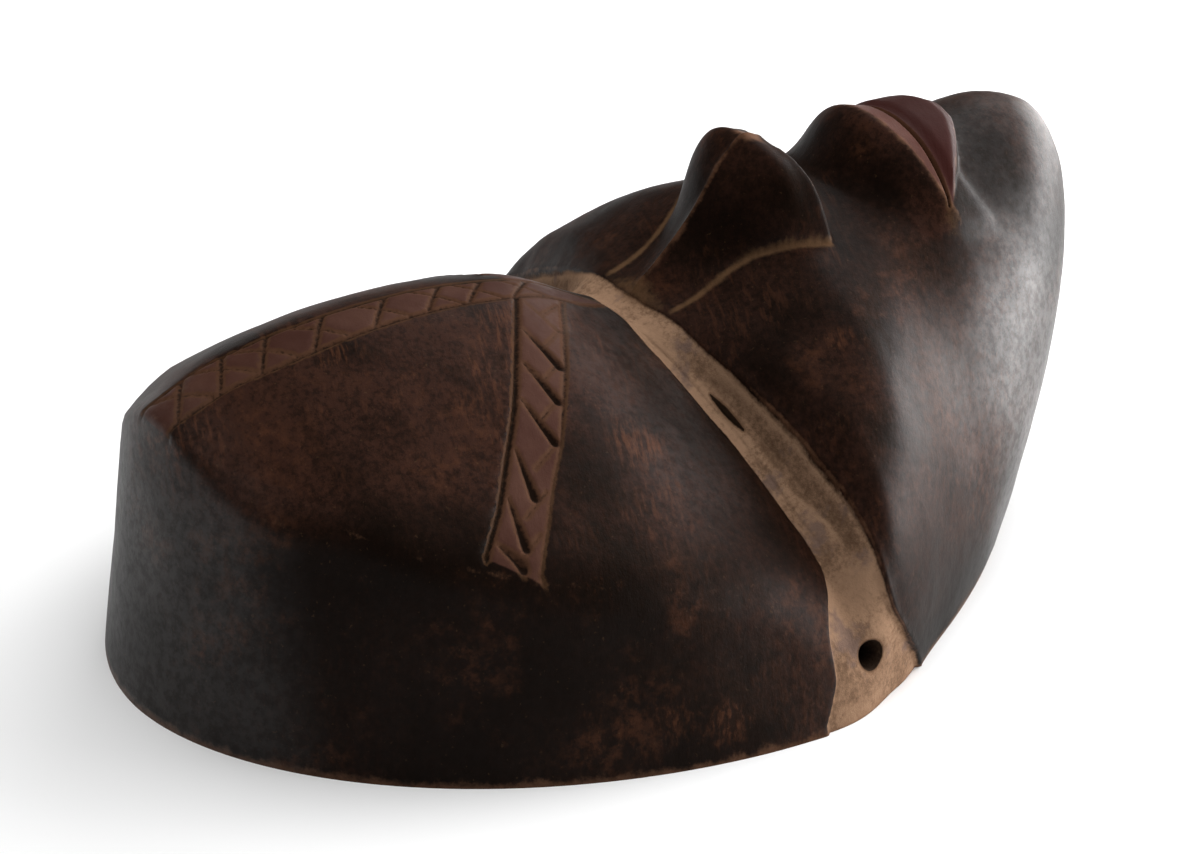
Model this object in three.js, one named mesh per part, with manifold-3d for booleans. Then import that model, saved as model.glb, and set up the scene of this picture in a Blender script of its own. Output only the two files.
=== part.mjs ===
// A face mask carved from one piece of wood and hollowed behind, lying on its rim with the face up.
// Millimetres. X runs across the face, Y from the chin up to the crown, Z out of the flat rim.
// The face is the same on both sides of X = 0, so most functions take t, the distance from that line.
import * as THREE from 'three';
import { mergeVertices } from 'three/addons/utils/BufferGeometryUtils.js';
import Module from 'manifold-3d';

// Driving sizes: the outline that the rim draws on the ground.
const halfWidth = 82.9;
const crownReach = 111.9;
const chinReach = 112.6;
const crownFullness = 1.927;
const jawFullness = 1.262;
const temple = { angle: 108, spread: 9, swell: 1.45 };
const chinBluntness = 0.14;
const crownBluntness = 0.017;

// Driving sizes: the side wall, which leans in above the crown and swells out under the chin.
const swellHeight = 58.6;
const leanHeight = 60;

// Driving sizes: the forehead, a keeled roof that falls to both sides.
const forehead = { peakY: 48, peakZ: 74.9, halfLength: 53, crownDrop: 11.3, browDrop: 11.3 };
const browDip = { depth: 3.4, reachY: 24, reachT: 45 };
const keelRadius = 15.6;

// Driving sizes: the cheeks, which round up out of the valley that holds the eyes.
const cheekSlope = 0.5;
const cheekRise = 14.6;
const rootValley = { depth: 3.4, reachT: 11, startY: -10, endY: -26 };

// Driving sizes: the nose, from its root between the eyes to its steep end.
const nose = { rootY: -4, endY: -42.3, endZ: 75.5, endSlope: 4 };

// Driving sizes: the muzzle, whose crest is the edge of the upper lip, the lower lip and the mouth.
const muzzle = { crestY: -65.4, crestZ: 91.6, droop: 0.0205, frontSlope: 2, frontRadius: 5.5 };
const upperLip = { slope: 0.255, breadth: 9, innerSlope: 1.6 };
const lowerLip = { crestZ: 90.5, droop: 0.0172, halfLength: 26 };
const mouthCut = { y: -71, width: 1.4, depth: 3, halfLength: 21 };

// Driving sizes: the wood left by the hollow, the eye slits and the tie holes at the temples.
const wallThickness = 8.5;
const faceThickness = 12;
const muzzleHollow = { y: -55, depth: 7, halfWidth: 22, halfLength: 28 };
const eyeSlit = { t: 33, y: -7.7, length: 9.4, width: 1.1, turn: -13 };
const tieHole = { radius: 3, t: 77, y: -13, z: 11.5, reach: 30, turn: 14 };

// How finely the surfaces are faceted.
const outerRings = 39;
const hollowRings = 20;
const noseCells = { across: 16, along: 16 };
const lipCells = { across: 12, along: 6 };
const inside = 30;
const centreY = -8;

const smoothstep = THREE.MathUtils.smoothstep;
const clamp = THREE.MathUtils.clamp;

// A smooth curve through a few stations [place, value] that never overshoots between them.
function curveThrough(...stations) {
  const at = stations.map((station) => station[0]);
  const value = stations.map((station) => station[1]);
  const last = stations.length - 1;
  const gap = [];
  const slope = [];
  for (let i = 0; i < last; i += 1) {
    gap.push(at[i + 1] - at[i]);
    slope.push((value[i + 1] - value[i]) / gap[i]);
  }
  const tangent = [slope[0]];
  for (let i = 1; i < last; i += 1) {
    const before = 2 * gap[i] + gap[i - 1];
    const after = gap[i] + 2 * gap[i - 1];
    const turns = slope[i - 1] * slope[i] <= 0;
    tangent.push(turns ? 0 : (before + after) / (before / slope[i - 1] + after / slope[i]));
  }
  tangent.push(slope[last - 1]);
  return (place) => {
    let i = 0;
    while (i < last - 1 && place > at[i + 1]) i += 1;
    const u = clamp((place - at[i]) / gap[i], 0, 1);
    const rise = u * u * (3 - 2 * u);
    const start = u * (1 - u) ** 2 * gap[i] * tangent[i];
    const finish = u * u * (u - 1) * gap[i] * tangent[i + 1];
    return value[i] * (1 - rise) + value[i + 1] * rise + start + finish;
  };
}

// The larger of two values, with the corner between them rounded over the given width.
function roundedMax(a, b, width) {
  const h = clamp(0.5 + (0.5 * (a - b)) / width, 0, 1);
  return b + (a - b) * h + width * h * (1 - h);
}

function roundedMin(a, b, width) {
  return -roundedMax(-a, -b, width);
}

// Distance from the middle line, rounded at the line itself: a keel of the given radius.
function keel(t, radius) {
  return Math.hypot(t, radius) - radius;
}

const lean = curveThrough(
  [0, 0.12], [13, 0.112], [26, 0.18], [36, 0.19], [50, 0.206], [61, 0.236], [71, 0.272],
  [81, 0.329], [90, 0.351], [104, 0.047], [110, 0.026], [150, 0], [180, 0],
);
const swell = curveThrough([85, 0], [105, 1.6], [135, 4.6], [160, 8.9], [180, 15]);
const cornerWidth = curveThrough(
  [-115, 16.7], [-90, 28.2], [-60, 38], [-30, 25], [-12, 14.5], [0, 8.3], [12, 5.2], [60, 5], [105, 1.2],
);
const browLine = curveThrough(
  [0, 0.8], [12, 0], [20, -1.5], [32, -3.7], [42, -5.7], [49, -6.7], [60, -8.2], [72, -8.4], [90, -9],
);
const cheekMiddle = curveThrough(
  [-130, 74], [-118, 81.7], [-110, 87.9], [-100, 89.1], [-88, 86.7], [-72, 84.1],
  [-52, 78.4], [-36, 77.2], [-14, 66], [-2, 62.3], [20, 58],
);
const cheekFall = curveThrough(
  [-125, 0.0295], [-100, 0.0182], [-72, 0.0128], [-42, 0.0079], [-20, 0.0055], [-5, 0.0042],
);
const noseRidge = curveThrough(
  [-50, 88], [-42, 90.4], [-38, 91], [-34, 92.3], [-29, 88.5], [-22, 78.8],
  [-16, 72], [-12, 68.2], [-8, 65], [-4, 61.3], [4, 58],
);
const noseHalf = curveThrough(
  [-43, 21.6], [-36, 19.5], [-32, 17.7], [-29, 15.8], [-25, 13.4], [-20.6, 12], [-5, 10.8], [0, 9],
);
const mouthLine = curveThrough([0, -71.2], [17, -71.1], [23, -70.5], [26, -69.2]);
const lowerLipEdge = curveThrough(
  [0, -84.6], [6.4, -83.5], [11.3, -81.2], [15.7, -78.2], [19.6, -75.1], [23.4, -71.9], [26, -69.5],
);

// Reach of the rim from the origin at an angle from the crown, in radians.
function rimReach(angle) {
  const degrees = THREE.MathUtils.radToDeg(angle);
  const blunt = crownBluntness + (chinBluntness - crownBluntness) * smoothstep(degrees, 120, 175);
  const across = Math.hypot(Math.sin(angle), blunt) / halfWidth;
  const end = Math.cos(angle) > 0 ? crownReach : chinReach;
  const along = Math.hypot(Math.cos(angle), crownBluntness) / end;
  const fullness = crownFullness + (jawFullness - crownFullness) * smoothstep(degrees, 80, 106);
  const bulge = temple.swell * Math.exp(-(((degrees - temple.angle) / temple.spread) ** 2));
  return (across ** fullness + along ** fullness) ** (-1 / fullness) + bulge;
}

// How far a point stands outside the side wall.
function outsideWall(t, y, z) {
  const angle = Math.atan2(t, y);
  const degrees = THREE.MathUtils.radToDeg(angle);
  const step = 0.002;
  const reach = rimReach(angle);
  const turn = (rimReach(angle + step) - rimReach(angle - step)) / (2 * step);
  const square = reach / Math.hypot(reach, turn);
  const below = (clamp(z, 0, swellHeight) - swellHeight) / swellHeight;
  const wall = reach + swell(degrees) * (1 - below * below) - lean(degrees) * clamp(z, 0, leanHeight);
  return (Math.hypot(t, y) - wall) * square;
}

function foreheadZ(t, y) {
  const toCrown = Math.max(y - forehead.peakY, 0) / forehead.halfLength;
  const toBrow = Math.max(forehead.peakY - y, 0) / forehead.halfLength;
  const crest = forehead.peakZ - forehead.crownDrop * toCrown ** 2.3 - forehead.browDrop * toBrow ** 1.9;
  const dip = browDip.depth * (1 - smoothstep(y, 0, browDip.reachY)) * Math.exp(-((t / browDip.reachT) ** 4));
  const pitch = 0.66 + 0.06 * smoothstep(y, 10, 80) + 0.24 * smoothstep(y, 80, 108);
  return crest - dip - pitch * keel(t, keelRadius);
}

// The cheeks start at the brow line, and dip beside the root of the nose.
function cheekZ(t, y) {
  const brow = browLine(t);
  const below = Math.max(brow - y, 0);
  const full = smoothstep(below, 0, cheekRise);
  const valley = foreheadZ(t, brow) + cheekSlope * below;
  const dip = rootValley.depth * Math.exp(-((t / rootValley.reachT) ** 2)) * smoothstep(below, 0, 3);
  const cheek = (1 - full) * valley + full * (cheekMiddle(y) - cheekFall(y) * t * t);
  return cheek - dip * smoothstep(y, rootValley.endY, rootValley.startY);
}

// A low roof at the root that fills out to rounded wings at the end.
function noseZ(t, y) {
  const along = (nose.rootY - y) / (nose.rootY - nose.endY);
  const height = Math.max(noseRidge(y) - cheekZ(0, y) + 0.5, 0.05);
  const winged = smoothstep(along, 0.38, 0.8);
  const across = Math.min(t / noseHalf(y), 1);
  const section = (1 - across ** (1 + 2.8 * winged)) ** (1.15 - 0.65 * winged);
  const wings = 1.2 * (1 - Math.exp(-((t / 9) ** 2))) - 0.035 * Math.max(t - 14, 0) ** 2;
  const end = nose.endZ + (y - nose.endY + wings) * nose.endSlope;
  const rounding = 1.4 + 2.8 * smoothstep(t, 6, 15);
  return roundedMin(cheekZ(t, y) - 0.5 + height * section, end, rounding);
}

function muzzleZ(t, y) {
  const along = y - muzzle.crestY + 0.0085 * t * t;
  const beyondLip = Math.max(t - lowerLip.halfLength + 1, 0);
  const crest = muzzle.crestZ - muzzle.droop * t * t - 0.4 * beyondLip ** 2;
  if (along > 0) return crest - muzzle.frontSlope * keel(along, muzzle.frontRadius);
  const inner = Math.max(-along - upperLip.breadth, 0);
  return crest - upperLip.slope * Math.min(-along, upperLip.breadth) - upperLip.innerSlope * inner;
}

// Height of the lower lip at a share of its breadth from the mouth to its outer edge.
function lowerLipZ(t, across, breadth) {
  const inner = 1.7 * (1 - smoothstep(across * breadth, 0, 4));
  const outer = 0.9 * smoothstep(across, 0.8, 1);
  return lowerLip.crestZ - lowerLip.droop * t * t - inner - outer;
}

function faceZ(t, y) {
  const blend = smoothstep(y - browLine(t), -1.5, 1.5);
  if (blend === 1) return foreheadZ(t, y);
  const rounding = 3 + 3 * smoothstep(t, 19, 28);
  return blend * foreheadZ(t, y) + (1 - blend) * roundedMax(cheekZ(t, y), muzzleZ(t, y), rounding);
}

// Negative inside the carved block, before it is hollowed.
function outsideMask(x, y, z) {
  const t = Math.abs(x);
  return roundedMax((z - faceZ(t, y)) * 0.85, outsideWall(t, y, z), cornerWidth(y));
}

// Negative inside the hollow, which follows the face loosely and is plainer.
function outsideHollow(x, y, z) {
  const t = Math.abs(x);
  const blend = smoothstep(y - browLine(t), -14, 14);
  const face = blend * foreheadZ(t, y) + (1 - blend) * cheekZ(t, y);
  const across = t / muzzleHollow.halfWidth;
  const along = (y - muzzleHollow.y) / muzzleHollow.halfLength;
  const dip = muzzleHollow.depth * Math.exp(-across * across - along * along);
  const roof = (z - face + faceThickness - dip) * 0.85;
  return roundedMax(roof, outsideWall(t, y, z) + wallThickness, cornerWidth(y) + 8);
}

// Where a ray from the middle of the rim leaves a shape.
function surfacePoint(direction, outside) {
  const at = (reach) => outside(
    direction.x * reach,
    centreY + direction.y * reach,
    direction.z * reach,
  );
  let reach = 150;
  while (at(reach) > 0) reach -= 2;
  let inner = reach;
  let outer = reach + 2;
  for (let i = 0; i < 24; i += 1) {
    const middle = (inner + outer) / 2;
    if (at(middle) > 0) outer = middle;
    else inner = middle;
  }
  return direction.clone().multiplyScalar(inner).add(new THREE.Vector3(0, centreY, 0));
}

// Rings of points, with four more in each than in the one above, cover the shape like a cap.
function cappedSkin(rings, outside, lowest) {
  const points = [];
  const index = [];
  const start = (ring) => 2 * ring * (ring - 1) + 1;
  const corner = (ring, place) => (ring === 0 ? 0 : start(ring) + (place % (4 * ring)));
  for (let ring = 0; ring <= rings; ring += 1) {
    const elevation = lowest + (Math.PI / 2 - lowest) * (1 - ring / rings);
    const count = Math.max(4 * ring, 1);
    for (let place = 0; place < count; place += 1) {
      const angle = (2 * Math.PI * place) / count;
      const direction = new THREE.Vector3().setFromSphericalCoords(1, Math.PI / 2 - elevation, angle);
      points.push(surfacePoint(new THREE.Vector3(direction.z, direction.x, direction.y), outside));
    }
  }
  for (let ring = 1; ring <= rings; ring += 1) {
    for (let place = 0; place < 4 * ring; place += 1) {
      const side = Math.floor(place / ring);
      index.push(corner(ring, place), corner(ring, place + 1), corner(ring - 1, place - side));
      if (place % ring !== 0) {
        index.push(corner(ring - 1, place - side), corner(ring - 1, place - side - 1), corner(ring, place));
      }
    }
  }
  const hub = points.length;
  points.push(new THREE.Vector3(0, centreY, points[start(rings)].z));
  for (let place = 0; place < 4 * rings; place += 1) {
    index.push(corner(rings, place + 1), corner(rings, place), hub);
  }
  const skin = new THREE.BufferGeometry().setFromPoints(points);
  skin.setIndex(index);
  return skin;
}

// A block whose top follows a surface; place(u, v) gives a top point for u and v from -1 to 1.
function toppedBlock(cells, place) {
  const block = new THREE.BoxGeometry(2, 2, 2, cells.across, cells.along, 1);
  const corners = block.attributes.position;
  for (let i = 0; i < corners.count; i += 1) {
    const point = place(corners.getX(i), corners.getY(i));
    const buried = corners.getZ(i) > 0 ? 0 : inside;
    corners.setXYZ(i, point.x, point.y, point.z - buried);
  }
  return block;
}

// The columns crowd together at the wings and the rows at the end, where the nose is steepest.
function noseBlock() {
  return toppedBlock(noseCells, (u, v) => {
    const y = nose.rootY + 2 - (nose.rootY + 7 - nose.endY) * Math.sin((Math.PI / 4) * (1 - v));
    const x = noseHalf(y) * Math.sin((Math.PI / 2) * u);
    return new THREE.Vector3(x, y, noseZ(Math.abs(x), y));
  });
}

function lowerLipBlock() {
  return toppedBlock(lipCells, (u, v) => {
    const x = lowerLip.halfLength * Math.sin((Math.PI / 2) * u);
    const across = (1 - Math.sin((Math.PI / 2) * v)) / 2;
    const mouth = mouthLine(Math.abs(x));
    const breadth = mouth - lowerLipEdge(Math.abs(x));
    return new THREE.Vector3(x, mouth - breadth * across, lowerLipZ(x, across, breadth));
  });
}

const wasm = await Module();
wasm.setup();

function solidOf(geometry) {
  const bare = geometry.clone();
  bare.deleteAttribute('normal');
  bare.deleteAttribute('uv');
  const merged = mergeVertices(bare);
  return new wasm.Manifold(new wasm.Mesh({
    numProp: 3,
    vertProperties: new Float32Array(merged.attributes.position.array),
    triVerts: new Uint32Array(merged.index.array),
  }));
}

function geometryOf(solid) {
  const mesh = solid.getMesh();
  const geometry = new THREE.BufferGeometry();
  geometry.setAttribute('position', new THREE.BufferAttribute(new Float32Array(mesh.vertProperties), 3));
  geometry.setIndex(new THREE.BufferAttribute(new Uint32Array(mesh.triVerts), 1));
  geometry.computeBoundingBox();
  geometry.translate(0, -geometry.boundingBox.getCenter(new THREE.Vector3()).y, 0);
  geometry.computeVertexNormals();
  return geometry;
}

// A narrow slot with pointed ends, cut straight down through the valley under the brow.
function eyeSlitCutter(side) {
  const half = eyeSlit.length / 2;
  const outline = new THREE.Shape();
  outline.moveTo(-half, 0);
  outline.quadraticCurveTo(0, -eyeSlit.width, half, 0);
  outline.quadraticCurveTo(0, eyeSlit.width, -half, 0);
  const cutter = new THREE.ExtrudeGeometry(outline, { depth: 80, bevelEnabled: false, curveSegments: 6 });
  cutter.rotateZ(THREE.MathUtils.degToRad(side * eyeSlit.turn));
  cutter.translate(side * eyeSlit.t, eyeSlit.y, 10);
  return cutter;
}

function tieHoleCutter(side) {
  const cutter = new THREE.CylinderGeometry(tieHole.radius, tieHole.radius, tieHole.reach, 18);
  cutter.rotateZ(Math.PI / 2);
  cutter.rotateZ(THREE.MathUtils.degToRad(-side * tieHole.turn));
  cutter.translate(side * tieHole.t, tieHole.y, tieHole.z);
  return cutter;
}

// The cut between the lips keeps an even depth under their curved crest.
function mouthCutter() {
  const reach = mouthCut.halfLength;
  const outline = new THREE.Shape();
  const steps = 16;
  outline.moveTo(-reach, muzzle.crestZ + 10);
  for (let i = 0; i <= steps; i += 1) {
    const x = -reach + (2 * reach * i) / steps;
    const fade = 1 - (x / reach) ** 4;
    outline.lineTo(x, muzzle.crestZ - muzzle.droop * x * x - mouthCut.depth * fade);
  }
  outline.lineTo(reach, muzzle.crestZ + 10);
  const cutter = new THREE.ExtrudeGeometry(outline, { depth: mouthCut.width, bevelEnabled: false });
  cutter.rotateX(Math.PI / 2);
  cutter.translate(0, mouthCut.y + mouthCut.width / 2, 0);
  return cutter;
}

function carvedMask() {
  const block = solidOf(cappedSkin(outerRings, outsideMask, 0));
  const hollow = solidOf(cappedSkin(hollowRings, outsideHollow, -0.04));
  const features = solidOf(noseBlock()).add(solidOf(lowerLipBlock()));
  let solid = block.add(features).subtract(hollow).subtract(solidOf(mouthCutter()));
  for (const side of [-1, 1]) {
    solid = solid.subtract(solidOf(eyeSlitCutter(side))).subtract(solidOf(tieHoleCutter(side)));
  }
  return geometryOf(solid);
}

const darkWood = new THREE.MeshStandardMaterial({ color: 0x33231c, roughness: 0.45, metalness: 0 });
const mask = new THREE.Mesh(carvedMask(), darkWood);
mask.name = 'mask';

const object = new THREE.Group();
object.add(mask);

export default object;
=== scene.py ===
"""The looks of a carved wooden face mask that lies on its rim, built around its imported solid.

Lengths inside the carving classes are millimetres in the carver's frame: X across the face, Y from
the chin up to the crown, Z out of the flat rim. The face matches itself across X = 0, so most
methods take t, the distance from that line. Only the finished mesh is in metres.
"""

import logging
import math
from collections.abc import Callable
from dataclasses import dataclass, field
from enum import Enum
from functools import cached_property

import bmesh
import bpy
import numpy as np
from mathutils import Matrix, Vector, noise


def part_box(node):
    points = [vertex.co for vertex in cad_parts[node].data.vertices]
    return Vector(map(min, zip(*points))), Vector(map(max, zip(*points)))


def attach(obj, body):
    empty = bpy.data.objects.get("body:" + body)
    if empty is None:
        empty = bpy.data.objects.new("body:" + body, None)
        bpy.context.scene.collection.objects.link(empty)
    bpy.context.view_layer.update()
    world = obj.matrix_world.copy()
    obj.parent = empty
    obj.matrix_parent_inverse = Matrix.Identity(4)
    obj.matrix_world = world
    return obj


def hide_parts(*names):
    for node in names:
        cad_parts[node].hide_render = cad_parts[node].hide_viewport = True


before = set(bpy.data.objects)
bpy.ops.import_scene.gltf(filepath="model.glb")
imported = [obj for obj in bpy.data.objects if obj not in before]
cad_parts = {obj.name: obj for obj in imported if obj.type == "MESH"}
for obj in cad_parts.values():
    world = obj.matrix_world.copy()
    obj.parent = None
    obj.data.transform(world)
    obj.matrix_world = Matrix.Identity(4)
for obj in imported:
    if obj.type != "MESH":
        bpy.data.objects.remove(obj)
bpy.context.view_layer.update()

MM = 0.001
# a distance in millimetres that no finish reaches
FAR = 9.0
# how much weaker and finer each layer of a cloudy field is than the one before
LAYER_FADE = 0.9
LAYER_RATIO = 2.1
NODE = "mask"
BODY = "root"

Array = np.ndarray
Surface = Callable[[Array], Array]
log = logging.getLogger("mask")


def smoothstep(value: Array, low: float, high: float) -> Array:
    """Rise from 0 at low to 1 at high with flat ends.

    Args:
        value: Places to look at.
        low: Where the rise starts.
        high: Where it ends.

    Returns:
        The height of the rise at each place.
    """
    u = np.clip((value - low) / (high - low), 0.0, 1.0)
    return u * u * (3.0 - 2.0 * u)


def rounded_max(a: Array, b: Array, width: float) -> Array:
    """Take the larger of two values and round the corner between them.

    Args:
        a: First values.
        b: Second values.
        width: Width of the rounded corner.

    Returns:
        The rounded maximum.
    """
    h = np.clip(0.5 + 0.5 * (a - b) / width, 0.0, 1.0)
    return b + (a - b) * h + width * h * (1.0 - h)


def keel(distance: Array, radius: float) -> Array:
    """Round the crease of an absolute value, so that a roof gets a keel of the given radius."""
    return np.hypot(distance, radius) - radius


def hump(distance: Array, reach: float) -> Array:
    """Fall softly from 1 at no distance to almost nothing past twice the reach."""
    return np.exp(-((distance / reach) ** 2))


def notch(distance: Array, half_width: float) -> Array:
    """Share of the depth of a V-shaped cut, at a distance from its bottom line."""
    return np.clip(1.0 - distance / half_width, 0.0, 1.0)


def split(points: Array) -> tuple[Array, Array, Array, Array]:
    """Split places into x, y and z, followed by t, the distance from the middle line."""
    x, y, z = points.T
    return x, y, z, np.abs(x)


class Profile:
    """A smooth curve through a few stations that never overshoots between them."""

    def __init__(self, *stations: tuple[float, float]) -> None:
        """Fit the curve.

        Args:
            stations: Pairs of place and value, in rising order of place.
        """
        self.at, self.value = np.array(stations, float).T
        gap = np.diff(self.at)
        slope = np.diff(self.value) / gap
        before = 2.0 * gap[1:] + gap[:-1]
        after = gap[1:] + 2.0 * gap[:-1]
        same_way = slope[:-1] * slope[1:] > 0.0
        safe = np.where(same_way, slope[:-1], 1.0), np.where(same_way, slope[1:], 1.0)
        middle = np.where(same_way, (before + after) / (before / safe[0] + after / safe[1]), 0.0)
        self.gap = gap
        self.tangent = np.concatenate(([slope[0]], middle, [slope[-1]]))

    def __call__(self, place: Array) -> Array:
        """Read the curve, which stays level beyond its ends.

        Args:
            place: Where to read it.

        Returns:
            The values of the curve.
        """
        i = np.clip(np.searchsorted(self.at, place, side="right") - 1, 0, len(self.gap) - 1)
        u = np.clip((place - self.at[i]) / self.gap[i], 0.0, 1.0)
        rise = u * u * (3.0 - 2.0 * u)
        start = u * (1.0 - u) ** 2 * self.gap[i] * self.tangent[i]
        finish = u * u * (u - 1.0) * self.gap[i] * self.tangent[i + 1]
        return self.value[i] * (1.0 - rise) + self.value[i + 1] * rise + start + finish


class Side(Enum):
    """The mask's own right, which faces the camera, and its left."""

    RIGHT = -1
    LEFT = 1


class Trace(Enum):
    """What the mesh carries for its materials: distances in millimetres, or shares from 0 to 1."""

    RED = "red_paint"
    CLAY = "eye_band"
    LIP = "lips"
    CUT = "incisions"
    WORN = "worn_edges"
    DIRT = "rusty_dirt"
    BROWN = "brown_tone"
    PIERCED = "openings"
    HOLLOW = "concavity"
    POLISH = "handled_polish"
    FACET = "far_facet"
    PATCH = "rubbed_patches"


@dataclass(frozen=True)
class MaskForm:
    """The outer shape of the mask before its bands, lines and wear are cut.

    The rim draws a superellipse that is full at the crown and drawn in at the jaw. A side wall
    stands on it, the forehead is a keeled roof, and the cheeks, nose and muzzle rise beyond the
    brow line.
    """

    # the rim and the side wall
    half_width: float = 82.9
    crown_reach: float = 111.9
    chin_reach: float = 112.6
    crown_fullness: float = 1.927
    jaw_fullness: float = 1.262
    crown_bluntness: float = 0.017
    chin_bluntness: float = 0.14
    temple_angle: float = 108.0
    temple_spread: float = 9.0
    temple_swell: float = 1.45
    swell_height: float = 58.6
    lean_height: float = 60.0
    squareness: float = 0.85

    # the forehead, a roof with a keel
    peak_y: float = 48.0
    peak_z: float = 74.9
    half_forehead: float = 53.0
    crown_drop: float = 11.3
    crown_curve: float = 2.3
    brow_drop: float = 11.3
    brow_curve: float = 1.9
    brow_dip: float = 3.4
    brow_dip_half_width: float = 45.0
    brow_rounding: float = 1.5
    keel_radius: float = 15.6
    roof_pitch: float = 0.66
    roof_steepening: float = 0.06
    crown_steepening: float = 0.24

    # the cheeks and the valley between them
    cheek_slope: float = 0.5
    cheek_rise: float = 14.6
    root_valley: float = 3.4
    root_valley_half_width: float = 11.0

    # the nose, from its root to the wings at its end
    nose_root_y: float = -4.0
    nose_end_y: float = -42.3
    nose_end_z: float = 75.5
    nose_end_slope: float = 4.0
    nose_sink: float = 0.5
    nose_skirt_slope: float = 3.0
    nose_rounding: float = 1.2
    ridge_height: float = 0.8
    ridge_width: float = 1.3
    root_sharpness: float = 1.15
    wing_growth: tuple[float, float] = (0.38, 0.8)
    wing_fullness: float = 0.65
    wing_bulge: float = 2.8
    wing_setback: float = 1.2
    wing_sweep: float = 0.035
    tip_rounding: float = 1.4
    wing_rounding: float = 2.8

    # the muzzle and its lips
    muzzle_y: float = -65.4
    muzzle_z: float = 91.6
    muzzle_droop: float = 0.0205
    muzzle_bow: float = 0.0085
    muzzle_front_slope: float = 2.0
    muzzle_front_radius: float = 5.5
    muzzle_back_start: float = 7.0
    muzzle_back_slope: float = 1.6
    muzzle_back_radius: float = 4.0
    muzzle_rounding: float = 3.0
    corner_rounding: float = 3.0
    corner_fall: float = 0.4
    lip_slope: float = 0.255
    lip_z: float = 90.5
    lip_half: float = 26.0
    lower_lip_droop: float = 0.0172
    lower_lip_dip: float = 1.7
    lower_lip_edge_drop: float = 0.9
    lower_lip_side_slope: float = 5.0
    lower_lip_rounding: float = 0.8

    # by angle from the crown, then along the face, then across it
    lean: Profile = Profile(
        (0, 0.12), (13, 0.112), (26, 0.18), (36, 0.19), (50, 0.206), (61, 0.236), (71, 0.272),
        (81, 0.329), (90, 0.351), (104, 0.047), (110, 0.026), (150, 0), (180, 0),
    )
    swell: Profile = Profile((85, 0), (105, 1.6), (135, 4.6), (160, 8.9), (180, 15))
    corner: Profile = Profile(
        (-115, 16.7), (-90, 28.2), (-60, 38), (-30, 25), (-12, 14.5), (0, 8.3), (12, 5.2), (60, 5), (105, 1.2)
    )
    brow: Profile = Profile(
        (0, 0.8), (12, 0), (20, -1.5), (32, -3.7), (42, -5.7), (49, -6.7), (60, -8.2), (72, -8.4), (90, -9)
    )
    cheek_middle: Profile = Profile(
        (-130, 74), (-118, 81.7), (-110, 87.9), (-100, 89.1), (-88, 86.7), (-72, 84.1),
        (-52, 78.4), (-36, 77.2), (-14, 66), (-2, 62.3), (20, 58),
    )
    cheek_fall: Profile = Profile(
        (-125, 0.0295), (-100, 0.0182), (-72, 0.0128), (-42, 0.0079), (-20, 0.0055), (-5, 0.0042)
    )
    nose_ridge: Profile = Profile(
        (-50, 88), (-42, 90.4), (-38, 91), (-34, 92.3), (-29, 88.5), (-22, 78.8),
        (-16, 72), (-12, 68.2), (-8, 65), (-4, 61.3), (4, 58),
    )
    nose_base: Profile = Profile(
        (-43, 21.6), (-36, 19.5), (-32, 17.7), (-29, 15.8), (-25, 13.4), (-20.6, 12), (-5, 10.8), (0, 9)
    )
    mouth_line: Profile = Profile((0, -71.2), (17, -71.1), (23, -70.5), (26, -69.2))
    lower_lip_edge: Profile = Profile(
        (0, -84.6), (6.4, -83.5), (11.3, -81.2), (15.7, -78.2), (19.6, -75.1), (23.4, -71.9), (26, -69.5)
    )

    def rim_reach(self, angle: Array) -> Array:
        """Measure the rim from the origin, at angles in radians from the crown.

        Args:
            angle: The angles.

        Returns:
            The distances from the origin to the rim.
        """
        degrees = np.degrees(angle)
        chin = smoothstep(degrees, 120.0, 175.0)
        blunt = self.crown_bluntness + (self.chin_bluntness - self.crown_bluntness) * chin
        across = np.hypot(np.sin(angle), blunt) / self.half_width
        end = np.where(np.cos(angle) > 0.0, self.crown_reach, self.chin_reach)
        along = np.hypot(np.cos(angle), self.crown_bluntness) / end
        jaw = smoothstep(degrees, 80.0, 106.0)
        fullness = self.crown_fullness + (self.jaw_fullness - self.crown_fullness) * jaw
        bulge = hump(degrees - self.temple_angle, self.temple_spread)
        return (across**fullness + along**fullness) ** (-1.0 / fullness) + self.temple_swell * bulge

    @cached_property
    def rim_table(self) -> tuple[Array, Array, Array]:
        """Angles, the reach of the rim at them, and how squarely a radius meets the rim there."""
        angle = np.linspace(0.0, np.pi, 3601)
        reach = self.rim_reach(angle)
        return angle, reach, reach / np.hypot(reach, np.gradient(reach, angle))

    def beyond_wall(self, t: Array, y: Array, z: Array) -> Array:
        """Tell how far points stand outside the side wall.

        Args:
            t: Distances from the middle line.
            y: Places up the face.
            z: Heights above the rim.

        Returns:
            The distances outside the wall, negative within it.
        """
        table, reaches, squares = self.rim_table
        angle = np.arctan2(t, y)
        degrees = np.degrees(angle)
        below = np.clip(z, 0.0, self.swell_height) / self.swell_height - 1.0
        reach = np.interp(angle, table, reaches) + self.swell(degrees) * (1.0 - below * below)
        reach = reach - self.lean(degrees) * np.clip(z, 0.0, self.lean_height)
        return (np.hypot(t, y) - reach) * np.interp(angle, table, squares)

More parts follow.
